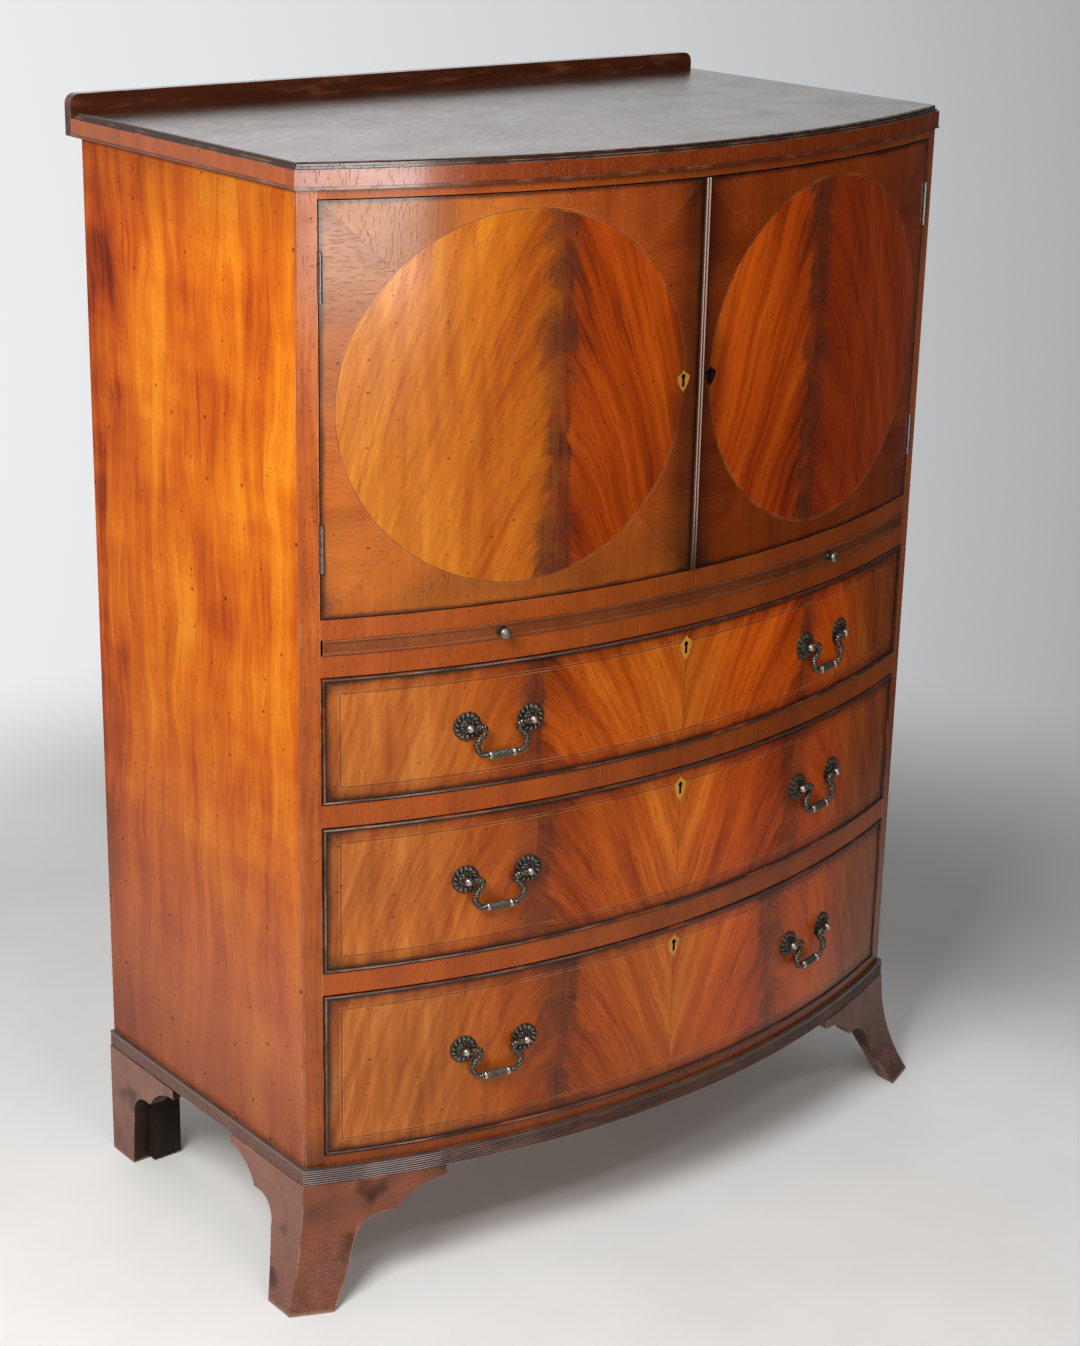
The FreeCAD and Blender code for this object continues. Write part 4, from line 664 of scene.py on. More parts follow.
def stringing(p, colour, distance, half_width=STRING_HALF_WIDTH):
    """An inlaid string: a thin dark core between two pale lines, rubbed away here and there."""
    patchy = p.smooth(0.35, 0.65, p.cloud(PATCH, shift=7.0))
    colour = p.mix(p.line(distance, half_width) * 0.38, colour, INK)
    pale = p.line(abs(distance) - half_width, half_width * 0.3)
    return p.mix(pale * (patchy * 0.50 + 0.15), colour, STRING_PALE)


def banding(p, across, along, colours, seed):
    """Mitred veneers round a panel, with the grain across each strip, from the distances to its edges."""
    upright_strip = along.above(across)
    level = Grain(p, p.x, p.z, streak=1.6, seed=seed)
    upright = Grain(p, p.z, p.x, streak=1.6, seed=seed + 4.0)
    shares = (0.30, 0.10, 0.14)
    value = p.blend(upright_strip, upright.value(*shares) + 0.03, level.value(*shares) - 0.03)
    mitre = p.line(across - along, MITRE_HALF_WIDTH)
    colour = p.mix(mitre * 0.45, p.ramp(value, colours), INK)
    return colour, Blend(p, upright_strip, upright, level)


def inner_faces(p, colour, seed):
    """Plain red brown wood on the edges and the back of a veneered front, dark in its beds and keyhole with
    dirt and painted shade.
    """
    veneer_span = (0.0005, 0.0008)
    bed_span = (0.012, 0.006)
    depth = BOW_RADIUS * MM - hypotenuse(p.x, p.y - BOW_AXIS_Y)
    grain = Grain(p, p.x, p.z, seed=seed)
    # Dirt and painted shade just behind the veneer: in beds, keyholes and near the front of the edges
    plain = p.mix(p.smooth(*bed_span, depth), p.ramp(grain.value(), RUST), UMBER[0])
    return p.mix(p.smooth(*veneer_span, depth), colour, plain)


def side_wood():
    """Side panels: wavy upright grain in amber and red brown, darker behind, with painted shade under the top
    and near the foot, and a painted reflection of the floor that greys the foot.
    """
    wave_height, wave_width, wave_reach = 0.16, 0.07, 0.050
    broad_height, broad_width = 0.30, 0.045
    patch_height, patch_width = 0.14, 0.09
    back_reach, back_unevenness = 0.12, 0.06
    front_far, front_near = 0.09, 0.02
    front_heights = (0.40, 1.05)
    reflection_top, reflection_foot = 0.52, 0.10
    shade_above, shade_below, shade_past = 0.10, 0.16, 0.02
    speck_spacing = 0.032
    p = Paint("side_mahogany")
    low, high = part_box("left_side")
    wave = p.noise(p.z / wave_height, p.y / wave_width, 2.2, detail=3.0)
    wavy = p.y + wave.swing(wave_reach)
    grain = Grain(p, p.z, wavy, streak=1.1, seed=3.1)
    broad = p.noise(p.z / broad_height, wavy / broad_width, 7.7, detail=4.0, roughness=0.6)
    patch = p.noise(p.z / patch_height, p.y / patch_width, 1.7, detail=3.0)
    middle = p.smooth(0.0, back_reach, high.y - p.y + broad.swing(back_unevenness))
    front = p.smooth(low.y + front_far, low.y + front_near, p.y) * p.smooth(*front_heights, p.z)
    # The foot: where a painted reflection of the floor lowers the tone and greys the wood
    foot = p.smooth(low.z + reflection_top, low.z + reflection_foot, p.z)
    tone = grain.value(0.55, 0.30, 0.20) + broad.swing(0.75) + patch.swing(0.60)
    colour = p.ramp(tone + (middle - 0.60) * 0.18 + front * 0.10 - foot * 0.06, AMBER, 0.20, 0.76)
    colour = p.mix(foot * 0.66, colour, SIDE_FLOOR_REFLECTION)
    # Painted shade: darker under the top and near the foot
    below = p.smooth(low.z + shade_below, low.z - shade_past, p.z)
    shade = p.smooth(high.z - shade_above, high.z, p.z).most(below)
    colour = p.mix(shade * 0.36, colour, FOXY[1])
    colour = speckled(p, edge_wear_and_highlight(p, colour), speck_spacing)
    return polish(p, colour, grain, sheen=0.22, specular=0.06)


def stile_wood():
    """Front stiles: upright grain, with painted shade that darkens them to the foot and the head, nearly
    black at the foot's end.
    """
    low_span = (0.95, 0.15)
    foot_span = (0.21, 0.152)
    high_span = (0.95, 1.10)
    p = Paint("stile_mahogany")
    grain = Grain(p, p.z, p.x + p.y, seed=4.2)
    # Painted shade: darker towards the floor and under the top, nearly black above the moulding
    shade = 1.0 - p.smooth(*low_span, p.z) * 0.32 - p.smooth(*foot_span, p.z) * 0.40
    colour = p.tint(p.ramp(grain.value(0.7, 0.4, 0.2), CHESTNUT), shade - p.smooth(*high_span, p.z) * 0.22)
    colour = speckled(p, edge_wear_and_highlight(p, colour), CLOSE_SPECK_SPACING)
    return polish(p, colour, grain, sheen=0.16, tint=DOOR_TINT)


def crossbanded(name, colours, seed):
    """Banding with its grain across the strip, in short lengths, with painted light that makes it paler to
    the left and painted shade that makes it dark low down.
    """
    length_size = 0.11
    left_span = (-0.05, -0.32)
    foot_span = (0.22, 0.16)
    edge_radius = 0.0008
    p = Paint(name)
    grain = Grain(p, p.z, p.x, streak=1.6, seed=seed)
    length = p.noise(p.x / length_size, 0.0, seed)
    value = grain.value(0.20, 0.10, 0.06) + length.swing(0.30)
    # Painted light to the left, where the key lamp stands, and painted shade low down
    left = p.smooth(*left_span, p.x)
    foot = p.smooth(*foot_span, p.z)
    colour = p.tint(p.ramp(value, colours), (1.0 + left * 0.46) * (1.0 - foot * 0.42))
    return polish(p, speckled(p, edge_wear_and_highlight(p, colour, edge_radius, 0.6), CLOSE_SPECK_SPACING), grain)


def shelf_wood():
    """The shelf: grain along the board."""
    p = Paint("shelf_mahogany")
    grain = Grain(p, p.x, p.y, p.z, seed=5.9)
    return polish(p, p.ramp(grain.value(), RUSSET), grain, sheen=0.34)


def bare_wood(name, colours, along, seed):
    """Unpolished inside wood, with wide annual rings, dust and a dry surface."""
    ring_length, ring_width = 0.9, 0.011
    dust_size = 0.12
    relief = 0.0003
    p = Paint(name)
    run = {"x": p.x, "y": p.y, "z": p.z}
    other = [run[axis] for axis in "xyz" if axis != along]
    grain = Grain(p, run[along], other[0] + other[1], streak=0.7, seed=seed)
    ring = p.noise(run[along] / ring_length, (other[0] + other[1] * 0.3) / ring_width, seed, detail=3.0)
    colour = p.ramp(grain.value(0.4, 0.3, 0.02) + ring.swing(0.5), colours)
    dust = p.cloud(dust_size, detail=4.0)
    colour = p.mix(p.smooth(0.55, 0.75, dust) * 0.30, colour, colours[0])
    return p.finish(colour, grain.height() + ring * 0.5, 0.72 + dust.swing(0.2), depth=relief, specular=0.3)


def drawer_veneer(name, feathers, width, seed, strength):
    """A drawer front: book matched flame halves in a strung rectangle, with dirt and painted shade to its
    edges and corners, painted shade to its right end and a painted haze to its left end.
    """
    tone_length, tone_height = 0.20, 0.12
    right_shade_span = (0.22, 0.37)
    golden_span = (-0.15, -0.32)
    ruddy_start_span = (0.0, 0.10)
    ruddy_end_span = (0.33, 0.24)
    dirt_and_shade_reach, shade_reach, corner_reach = 0.0062, 0.0200, 0.024
    p = Paint(f"{name}_veneer")
    low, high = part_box(f"{name}_front")
    left, right = feathers
    feather = p.x.above(0.0) * (right - left) + left
    flame = Flame(p, abs(p.x) - feather, p.z - low.z, DRAWER_RISES, width, seed, DRAWER_FLAME, DRAWER_FLAME)
    across, along = edge_distances(p, low, high)
    edge = across.least(along)
    colour = p.mix(p.line(p.x, JOINT_HALF_WIDTH) * 0.6, flame.colour, INK)
    tone = p.noise(p.x / tone_length, p.z / tone_height, seed + 2.0)
    # Painted shade: the right end dims where the bow turns from the light
    right_shade = p.smooth(*right_shade_span, p.x) * 0.45
    # The strength darkens the lower drawers: painted shade
    colour = p.tint(colour, (tone * 0.6 + 0.74) * (1.0 - right_shade) * strength)
    # Painted reflection: a golden haze of the key lamp toward the left end
    colour = p.glaze(p.smooth(*golden_span, p.x), colour, GOLDEN_HAZE_GLAZE)
    ruddy = p.smooth(*ruddy_start_span, p.x) * p.smooth(*ruddy_end_span, p.x)
    colour = p.glaze(ruddy, colour, RUDDY_STAIN)
    outside = p.smooth(LINE_SOFTNESS, -LINE_SOFTNESS, edge - STRING_INSET)
    colour = p.glaze(outside, colour, BORDER_STAIN)
    colour = stringing(p, colour, edge - STRING_INSET)
    # Dirt and painted shade along the edges by the bead, more painted shade inward and in the corners
    colour = darkened(p, colour, edge, dirt_and_shade_reach, 0.80)
    colour = darkened(p, colour, edge, shade_reach, 0.34)
    colour = darkened(p, colour, (across + along) * 0.7, corner_reach, 0.60)
    colour = inner_faces(p, speckled(p, colour), seed + 8.0)
    return polish(p, colour, flame)


def oval_veneer(p, height, feather, seed, inner, outer):
    """The flame inside a door's oval, golden to the left and darker low on its inner side."""
    golden_span = (-0.20, -0.36)
    inward_reach = 0.03
    low_span = (0.24, 0.08)
    flame = Flame(p, abs(p.x) - feather, height, DOOR_RISES, DOOR_FEATHER_WIDTH, seed, inner, outer)
    oval = p.glaze(p.smooth(*golden_span, p.x), flame.colour, GOLDEN_DOOR_STAIN)
    inward = p.smooth(0.0, inward_reach, feather - abs(p.x))
    return flame, p.glaze(inward * p.smooth(*low_span, height), oval, LOW_OVAL_STAIN)


def field_veneer(p, height, across, along, seed, colours):
    """The mitred field round a door's oval, glazed darker toward the meeting edge and the foot, and changed
    in tone high and low on the hinge side.
    """
    tone_length, tone_height = 0.10, 0.08
    foot_reach = 0.12
    meeting_span = (-0.26, -0.12)
    meeting_end_span = (0.02, -0.02)
    hinge_span = (-0.22, -0.36)
    high_span = (0.22, 0.36)
    low_span = (0.24, 0.10)
    field, grain = banding(p, across, along, colours, seed + 3.0)
    tone = p.noise(p.x / tone_length, p.z / tone_height, seed + 2.0, detail=3.0)
    foot = p.smooth(foot_reach, 0.0, height)
    field = p.tint(field, tone * 0.8 + 0.60 - foot * 0.20)
    meeting_side = p.smooth(*meeting_span, p.x) * p.smooth(*meeting_end_span, p.x)
    field = p.glaze(meeting_side * (1.0 - foot * 0.6), field, MEETING_STAIN)
    hinge_side = p.smooth(*hinge_span, p.x)
    field = p.glaze(hinge_side * p.smooth(*high_span, height), field, HIGH_FIELD_STAIN)
    return grain, p.glaze(hinge_side * p.smooth(*low_span, height), field, LOW_FIELD_STAIN)


def door_veneer(name, oval_x, feather, seed, inner, outer, field_colours):
    """A door: mitred field veneers round an oval of flame, with a line of stringing."""
    dirt_and_shade_reach, corner_reach = 0.006, 0.030
    meeting_reach, meeting_cloud, meeting_unevenness = 0.055, 0.06, 0.04
    p = Paint(f"{name}_veneer")
    low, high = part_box(name)
    height = p.z - low.z
    across, along = edge_distances(p, low, high)
    flame, oval = oval_veneer(p, height, feather, seed, inner, outer)
    grain, field = field_veneer(p, height, across, along, seed, field_colours)
    wide = (p.x - oval_x) / OVAL_HALF_WIDTH
    tall = (p.z - ((low.z + high.z) / 2 + OVAL_RISE)) / OVAL_HALF_HEIGHT
    ring = (hypotenuse(wide, tall) - 1.0) * OVAL_HALF_WIDTH
    outside = p.smooth(-LINE_SOFTNESS, LINE_SOFTNESS, ring)
    colour = stringing(p, p.mix(outside, oval, field), ring, STRING_HALF_WIDTH * 0.7)
    # Dirt and painted shade along the edges, and painted shade in the corners
    colour = darkened(p, colour, across.least(along), dirt_and_shade_reach, 0.85)
    colour = darkened(p, colour, (across + along) * 0.6, corner_reach, 0.50)
    # Dirt and painted shade along the meeting edge of the doors
    meeting = p.smooth(meeting_reach, 0.0, abs(p.x) + p.cloud(meeting_cloud).swing(meeting_unevenness))
    colour = p.mix(meeting * 0.70, colour, UMBER[0])
    colour = inner_faces(p, speckled(p, colour), seed + 8.0)
    return polish(p, colour, Blend(p, outside, flame, grain), sheen=0.14, specular=0.40, tint=DOOR_TINT)


def top_wood():
    """The top board: crossbanded fascia with painted shade on its front, a dark lip, and a scuffed top with
    lengthwise grain, greyed toward the front by dust and a painted reflection of the backdrop.
    """
    haze_length, haze_width = 0.20, 0.07
    dust_and_sheen_start, dust_and_sheen_end = 0.02, 0.26
    ahead_span = (-0.35, -0.15)
    lip_foot, lip_start = 0.0070, 0.0060
    line_height, line_half_width = 0.0026, 0.0004
    dirt_and_shade_reach, edge_radius = 0.004, 0.001
    speck_spacing = 0.040
    p = Paint("top_mahogany")
    low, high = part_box("top_board")
    up = p.normal()[2].above(0.6)
    board = Grain(p, p.x, p.y, streak=1.2, seed=2.2)
    fascia = Grain(p, p.z, p.x + p.y, streak=0.9, seed=8.1)
    haze = p.noise(p.x / haze_length, p.y / haze_width, 4.0, detail=4.0, roughness=0.65)
    top = p.ramp(board.value(0.5, 0.3, 0.04) + haze.swing(0.3), UMBER)
    # Dust and a painted reflection of the backdrop, grey toward the front and less near the gallery
    near = p.smooth(high.y - dust_and_sheen_start, high.y - dust_and_sheen_end, p.y)
    top = p.mix((p.smooth(0.35, 0.65, haze) * 0.35 + 0.35) * near, top, TOP_DUST_AND_SHEEN)
    # Painted shade: the fascia's front faces darker than its lit ends, most of all to the right
    ahead = (p.smooth(*ahead_span, p.x) * 0.6 + 0.4) * p.smooth(-0.3, -0.7, p.normal()[1])
    band = p.glaze(ahead, p.tint(p.ramp(fascia.value(0.24, 0.12, 0.12), CHESTNUT), 0.82), FASCIA_SHADE_GLAZE)
    lip = p.smooth(high.z - lip_foot, high.z - lip_start, p.z)
    front = p.mix(lip, band, UMBER[1])
    front = p.mix(p.line(p.z - (low.z + line_height), line_half_width) * 0.8, front, INK)
    # Dirt and painted shade along the fascia's lower edge
    front = darkened(p, front, p.z - low.z, dirt_and_shade_reach, 0.6)
    front = edge_wear_and_highlight(p, speckled(p, front), edge_radius, 0.6)
    colour = p.mix(up, front, speckled(p, top, speck_spacing, flat=True))
    return polish(p, colour, Blend(p, up, fascia, board), sheen=0.17, specular=0.6, tint=TOP_TINT)


def reed_shading(p, colour):
    """Reeds: painted light along the sides, painted glints on the crowns to the left, and painted shade that
    makes the grooves black.
    """
    glint_span = (-0.08, -0.40)
    turn = p.math("PINGPONG", (p.z - REED_FOOT) / REED_PITCH, 0.5)
    aside = p.smooth(0.5, 0.9, abs(p.normal()[0]))
    # Painted glints on the crowns toward the left
    glinting = p.smooth(*glint_span, p.x) * (p.smooth(0.35, 0.60, p.cloud(BLOTCH, shift=2.0)) * 0.5 + 0.4)
    # Painted light on the reeds along the sides
    colour = p.mix(aside * 0.70, p.tint(colour, 1.3), REED_SIDE_LIGHT)
    colour = p.mix(p.smooth(0.32, 0.44, turn) * glinting * (1.0 - aside) * 0.75, colour, REED_GLINT)
    # Painted shade: grooves nearly black
    return p.mix(p.smooth(0.26, 0.10, turn) * 0.97, colour, INK)


def dark_wood(name, colours, seed, reeds=False):
    """Dark polished mouldings: brown on the crowns, dusty on top, and on reeds nearly black in the hollows as
    painted shade.
    """
    wear_length, wear_height = 0.05, 0.01
    p = Paint(name)
    grain = Grain(p, p.x + p.y, p.z * 0.5, seed=seed)
    colour = p.ramp(grain.value(0.35, 0.15, 0.0), colours)
    wear = p.noise(p.x / wear_length, p.y / wear_length, p.z / wear_height, detail=3.0)
    colour = p.mix(p.smooth(0.50, 0.70, wear) * 0.55, colour, FOXY[3])
    colour = edge_wear_and_highlight(p, colour, strength=0.9)
    if reeds:
        colour = reed_shading(p, colour)
    # Real dust on faces that look up, in the grey of dust and sheen
    dust = p.smooth(0.70, 0.98, p.normal()[2]) * p.cloud(FLECK)
    colour = p.mix(dust * 0.4, colour, TOP_DUST_AND_SHEEN)
    return p.finish(colour, grain.fibre, p.cloud(PATCH) * 0.12 + 0.10, depth=SMOOTH_RELIEF, tint=DARK_TINT)


def foot_wood():
    """Bracket feet: red brown, mottled and stained, more scuffed towards the floor, with painted light paler
    to the left and on the side faces, painted shade to the right, and black inside the rear feet as painted
    shade and stain.
    """
    low_reach, grit_size, scuff_size = 0.10, 0.0016, 0.018
    right_shade_span = (-0.40, 0.30)
    outer_place = 0.412
    rim_height, rim_unevenness, edge_radius = 0.004, 0.008, 0.0016
    p = Paint("foot_mahogany")
    grain = Grain(p, p.x + p.y, p.z, seed=6.4)
    mottle = p.cloud(PATCH, detail=4.0)
    colour = p.ramp(grain.value(0.3, 0.12, 0.05) + mottle.swing(0.6), FOXY)
    low = p.smooth(low_reach, 0.0, p.z)
    grit = p.cloud(grit_size, detail=4.0)
    patch = p.smooth(0.40, 0.58, p.cloud(scuff_size, shift=5.0))
    # Painted light and shade: paler to the left, darker to the right
    colour = p.tint(colour, 1.65 - p.smooth(*right_shade_span, p.x) * 0.85)
    # Painted light: side faces paler
    aside = p.smooth(0.4, 0.8, abs(p.normal()[0]))
    colour = p.mix((aside + 0.45) * (grit * 0.3 + 0.20), colour, SCUFF_AND_LIGHT)
    colour = p.mix(low * patch * p.smooth(0.44, 0.66, grit) * 0.55, colour, SCUFF_AND_LIGHT)
    stain = p.cloud(BLOTCH, detail=2.0, shift=3.0)
    colour = p.mix(p.smooth(0.54, 0.68, stain) * 0.60, colour, UMBER[0])
    colour = p.mix(low * 0.25, colour, FOXY[0])
    # Painted shade, with dark stain: black inside the rear feet
    outer_face = p.smooth(0.5, 0.8, abs(p.normal()[0])) * abs(p.x).above(outer_place)
    colour = p.mix((1.0 - outer_face) * p.y.above(0.0) * 0.92, colour, INK)
    rim = p.smooth(rim_height, 0.0, p.z + grit.swing(rim_unevenness))
    colour = p.mix(rim * 0.6, edge_wear_and_highlight(p, colour, edge_radius, 0.7), BARE_WOOD)
    return polish(p, colour, grain, wear=low * grit, sheen=0.32, specular=0.22)


def bead_wood():
    """Cockbeads: dark polish, with a painted highlight as a pale line along the crown, most of all to the
    left.
    """
    crown_span = (0.00155, 0.00185)
    glint_span = (0.10, -0.40)
    p = Paint("bead_mahogany")
    grain = Grain(p, p.x, p.z, p.y, seed=1.9)
    rub = p.cloud(PATCH)
    colour = p.ramp(grain.value(), UMBER)
    colour = p.mix(p.smooth(0.50, 0.72, rub) * 0.5, colour, CHESTNUT[1])
    # Painted highlight along the bead's crown, toward the left
    crown = p.smooth(*crown_span, hypotenuse(p.x, p.y - BOW_AXIS_Y) - BOW_RADIUS * MM)
    glinting = p.smooth(*glint_span, p.x) * p.smooth(0.38, 0.62, p.cloud(BLOTCH, shift=2.0))
    colour = p.mix(crown * glinting * 0.55, colour, BEAD_CROWN_HIGHLIGHT)
    return p.finish(colour, grain.fibre, 0.12 + rub.swing(0.12), depth=SMOOTH_RELIEF, tint=BEAD_TINT)


def closing_wood():
    """The reeded closing bead: dark in its grooves, with pale crowns, partly rubbed wood and partly a painted
    highlight.
    """
    plain_foot_height, unevenness = 0.10, 0.10
    p = Paint("closing_bead_mahogany")
    low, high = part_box("closing_bead")
    reed = (high.x - low.x) / 2
    grain = Grain(p, p.z, p.x, seed=1.2)
    turn = p.math("PINGPONG", (p.x - low.x) / reed, 0.5)
    height = p.z + (p.cloud(BLOTCH) - 0.4) * unevenness
    # Pale crowns above the foot: partly wear, partly a painted highlight
    rubbed = p.smooth(0.18, 0.42, turn) * p.smooth(low.z, low.z + plain_foot_height, height)
    colour = p.mix(rubbed * 0.85, p.ramp(grain.value(), UMBER), CROWN_WEAR_AND_HIGHLIGHT)
    return p.finish(colour, grain.fibre, 0.18 + p.cloud(FLECK) * 0.1, depth=SMOOTH_RELIEF, specular=0.7)


def inlay_wood():
    """Boxwood shields, yellow and a little dirty, with the keyhole's walls painted black as shade."""
    dirt_size = 0.006
    p = Paint("boxwood_inlay")
    grain = Grain(p, p.z, p.x, streak=0.5, seed=5.5)
    dirt = p.cloud(dirt_size)
    colour = p.mix(p.smooth(0.50, 0.75, dirt) * 0.45, p.ramp(grain.value(), BOXWOOD), CHESTNUT[1])
    # Painted shade: every face but the front, such as the keyhole's walls, is black
    ahead = p.smooth(-0.5, -0.7, p.normal()[1])
    return polish(p, p.mix(ahead, INK, colour), grain)


def worn_brass():
    """Antique brass: dark patina in its hollows, rubbed bright where the mesh's wear value is high."""
    fine_size, smear_size, relief = 0.0011, 0.012, 0.00008
    p = Paint("antique_brass")
    wear_node = p.node("ShaderNodeAttribute")
    wear_node.attribute_name = "wear"
    wear = Wire(p, wear_node.outputs["Fac"])
    fine = p.cloud(fine_size)
    rubbed = p.smooth(0.35, 0.95, wear + fine.swing(0.5) + p.cloud(smear_size, detail=2.0).swing(0.3))
    rough = 0.55 - rubbed * 0.22 + fine.swing(0.15)
    return p.finish(p.mix(rubbed, *BRONZE), fine, rough, depth=relief, tint=CLEAR_TINT, metal=1.0)


def plain_metal(name, tones, sheen):
    """Hinge steel and lock brass: brushed, dull, with stains."""
    brush_width, brush_length = 0.0006, 0.02
    stain_size, relief = 0.009, 0.00005
    p = Paint(name)
    brush = p.noise(p.x / brush_width, p.y / brush_width, p.z / brush_length)
    stain = p.cloud(stain_size)
    colour = p.mix(stain * 0.7 + brush * 0.3, *tones)
    return p.finish(colour, brush, stain * 0.25 + sheen, depth=relief, tint=CLEAR_TINT, metal=1.0)


def dress(material, *names):
    """Give parts of the cabinet a finish."""
    for name in names:
        node = NODES[name]
        node.data.materials.clear()
        node.data.materials.append(material)


def dress_cabinet():
    dress(side_wood(), "left_side", "right_side")
    dress(stile_wood(), "front_stiles")
    dress(top_wood(), "top_board")
    dress(dark_wood("gallery_mahogany", PLUM, 7.3), "back_gallery")
    dress(crossbanded("rail_banding", BANDING, 1.7), "drawer_rails", "frieze_rail", "cupboard_floor")
    dress(crossbanded("slide_banding", DUSKY, 9.2), "brushing_slide")
    dress(shelf_wood(), "cupboard_shelf")
    dress(bare_wood("back_pine", PINE, "z", 3.3), "back_boards")
    dress(bare_wood("inner_pine", PINE, "x", 8.8), "dust_boards", "drawer_runners", "shelf_battens")
    # Foot blocks: near black, painted shade
    dress(bare_wood("block_pine", SHADE_BLACK_PINE, "z", 4.8), "foot_blocks")
    dress(foot_wood(), "front_left_foot", "front_right_foot", "back_left_foot", "back_right_foot")
    dress(plain_metal("hinge_steel", STEEL, 0.26),
          "carcass_hinge_leaves", "left_door_hinge_leaves", "right_door_hinge_leaves")
    reeded_moulding(dark_wood("moulding_mahogany", UMBER, 2.7, reeds=True))


def dress_fronts():
    dress(door_veneer("left_door", -OVAL_PLACE, 0.167, 11.3, EMBER, FLAME, RUSSET), "left_door")
    # The right door: lit and shaded copies of the ember flame and a darker field, as painted light and shade
    dress(door_veneer("right_door", OVAL_PLACE, 0.178, 17.9, LIT_EMBER, SHADED_EMBER, RUST), "right_door")
    dress(closing_wood(), "closing_bead")
    bead = bead_wood()
    inlay = inlay_wood()
    sides = bare_wood("drawer_oak", OAK, "y", 6.1)
    bottom = bare_wood("bottom_oak", OAK, "x", 2.4)
    lock = plain_metal("lock_brass", LOCK_BRASS, 0.28)
    dress(inlay, "left_door_escutcheon")
    dress(lock, "door_lock", "door_lock_bolt")
    for name in DRAWERS:
        dress(drawer_veneer(name, *DRAWER_FIGURES[name]), f"{name}_front")
        dress(bead, f"{name}_cockbead")
        dress(sides, f"{name}_sides")
        dress(bottom, f"{name}_bottom")
        dress(inlay, f"{name}_escutcheon")
        dress(lock, f"{name}_lock", f"{name}_lock_bolt")
        bead_noses(name, bead)


class Sculpt:
    """A mesh in the making, with a wear value on every point."""

    sharp_angle = math.radians(50.0)

    def __init__(self):
        self.points = []
        self.wear = []
        self.faces = []

    def add(self, points, wear, faces):
        start = len(self.points)
        self.points += [tuple(point) for point in points]
        self.wear += list(wear)
        self.faces += [tuple(start + index for index in face) for face in faces]

    def add_unworn(self, points, sides):
        """A tube of rings with as many sides, closed at both ends and without wear."""
        self.add(points, [0.0] * len(points), tube_faces(len(points) // sides, sides))

    def piece(self, name, material):
        mesh = bpy.data.meshes.new(name)
        mesh.from_pydata(self.points, [], self.faces)
        mesh.update()
        shape = bmesh.new()
        shape.from_mesh(mesh)
        bmesh.ops.recalc_face_normals(shape, faces=shape.faces)
        shape.to_mesh(mesh)
        shape.free()
        mesh.attributes.new("wear", "FLOAT", "POINT").data.foreach_set("value", self.wear)
        mesh.polygons.foreach_set("use_smooth", [True] * len(mesh.polygons))
        mesh.set_sharp_from_angle(angle=self.sharp_angle)
        mesh.materials.append(material)
        piece = bpy.data.objects.new(name, mesh)
        bpy.context.scene.collection.objects.link(piece)
        return piece


def tube_faces(rings, sides):
    """Faces of a tube of rings, closed at both ends."""
    faces = []
    for ring in range(rings - 1):
        for side in range(sides):
            other = (side + 1) % sides
            faces.append((ring * sides + side, ring * sides + other,
                          (ring + 1) * sides + other, (ring + 1) * sides + side))
    faces.append(tuple(range(sides - 1, -1, -1)))
    faces.append(tuple(range((rings - 1) * sides, rings * sides)))
    return faces


def placing(origin, along, up, out):
    """A function from millimetres along, up and out to a point of the frame."""

    def place(x, y, height):
        return origin + (along * x + up * y + out * height) * MM

    return place


def bow_point(out, turn, z):
    """A point from millimetres out of the bow, an angle along it and a height."""
    reach = (BOW_RADIUS + out) * MM
    return Vector((reach * math.sin(turn), BOW_AXIS_Y - reach * math.cos(turn), z * MM))


def bow_sweep(sculpt, section, reach, stations=180):
    """Carry a section of (out, height) points along the bow, to a reach that may depend on out."""
    points = []
    for station in range(stations + 1):
        share = 2 * station / stations - 1
        for out, height in section:
            turn = math.asin(reach(out) / (BOW_RADIUS + out)) * share
            points.append(bow_point(out, turn, height))
    sculpt.add_unworn(points, len(section))


def round_nose(low, width, base, crown, steps=12):
    """A round nosed strip's section from its lower to its upper corner."""
    half = width / 2
    radius = (half * half + crown * crown) / (2 * crown)
    spread = math.asin(half / radius)
    for step in range(steps + 1):
        turn = spread * (2 * step / steps - 1)
        yield base + crown - radius * (1 - math.cos(turn)), low + half + radius * math.sin(turn)


def bead_noses(name, material):
    """Fine round noses over the bowed beads of a drawer."""
    low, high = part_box(f"{name}_cockbead")
    root = BEAD_BASE - BEAD_ROOT
    sculpt = Sculpt()
    for foot in (low.z / MM, high.z / MM - BEAD_WIDTH):
        nose = round_nose(foot, BEAD_WIDTH, BEAD_BASE, BEAD_CROWN)
        section = [(root, foot), *nose, (root, foot + BEAD_WIDTH)]
        bow_sweep(sculpt, section, lambda out: high.x / MM)
    piece = sculpt.piece(f"{name}_bead_noses", material)
    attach(piece, name)


def moulding_section(foot):
    """The base moulding's section: reeds under a fillet."""
    pitch = REED_PITCH / MM
    depth = pitch * REED_DEPTH_SHARE
    fillet = foot + pitch * REED_COUNT
    head = foot + MOULDING_HEIGHT
    section = [(0.0, foot)]
    for reed in range(REED_COUNT):
        section += round_nose(foot + pitch * reed, pitch, MOULDING_PROUD - depth, depth)
    section += [(MOULDING_PROUD, fillet + FILLET_GAP), (MOULDING_PROUD, head), (0.0, head)]
    return section


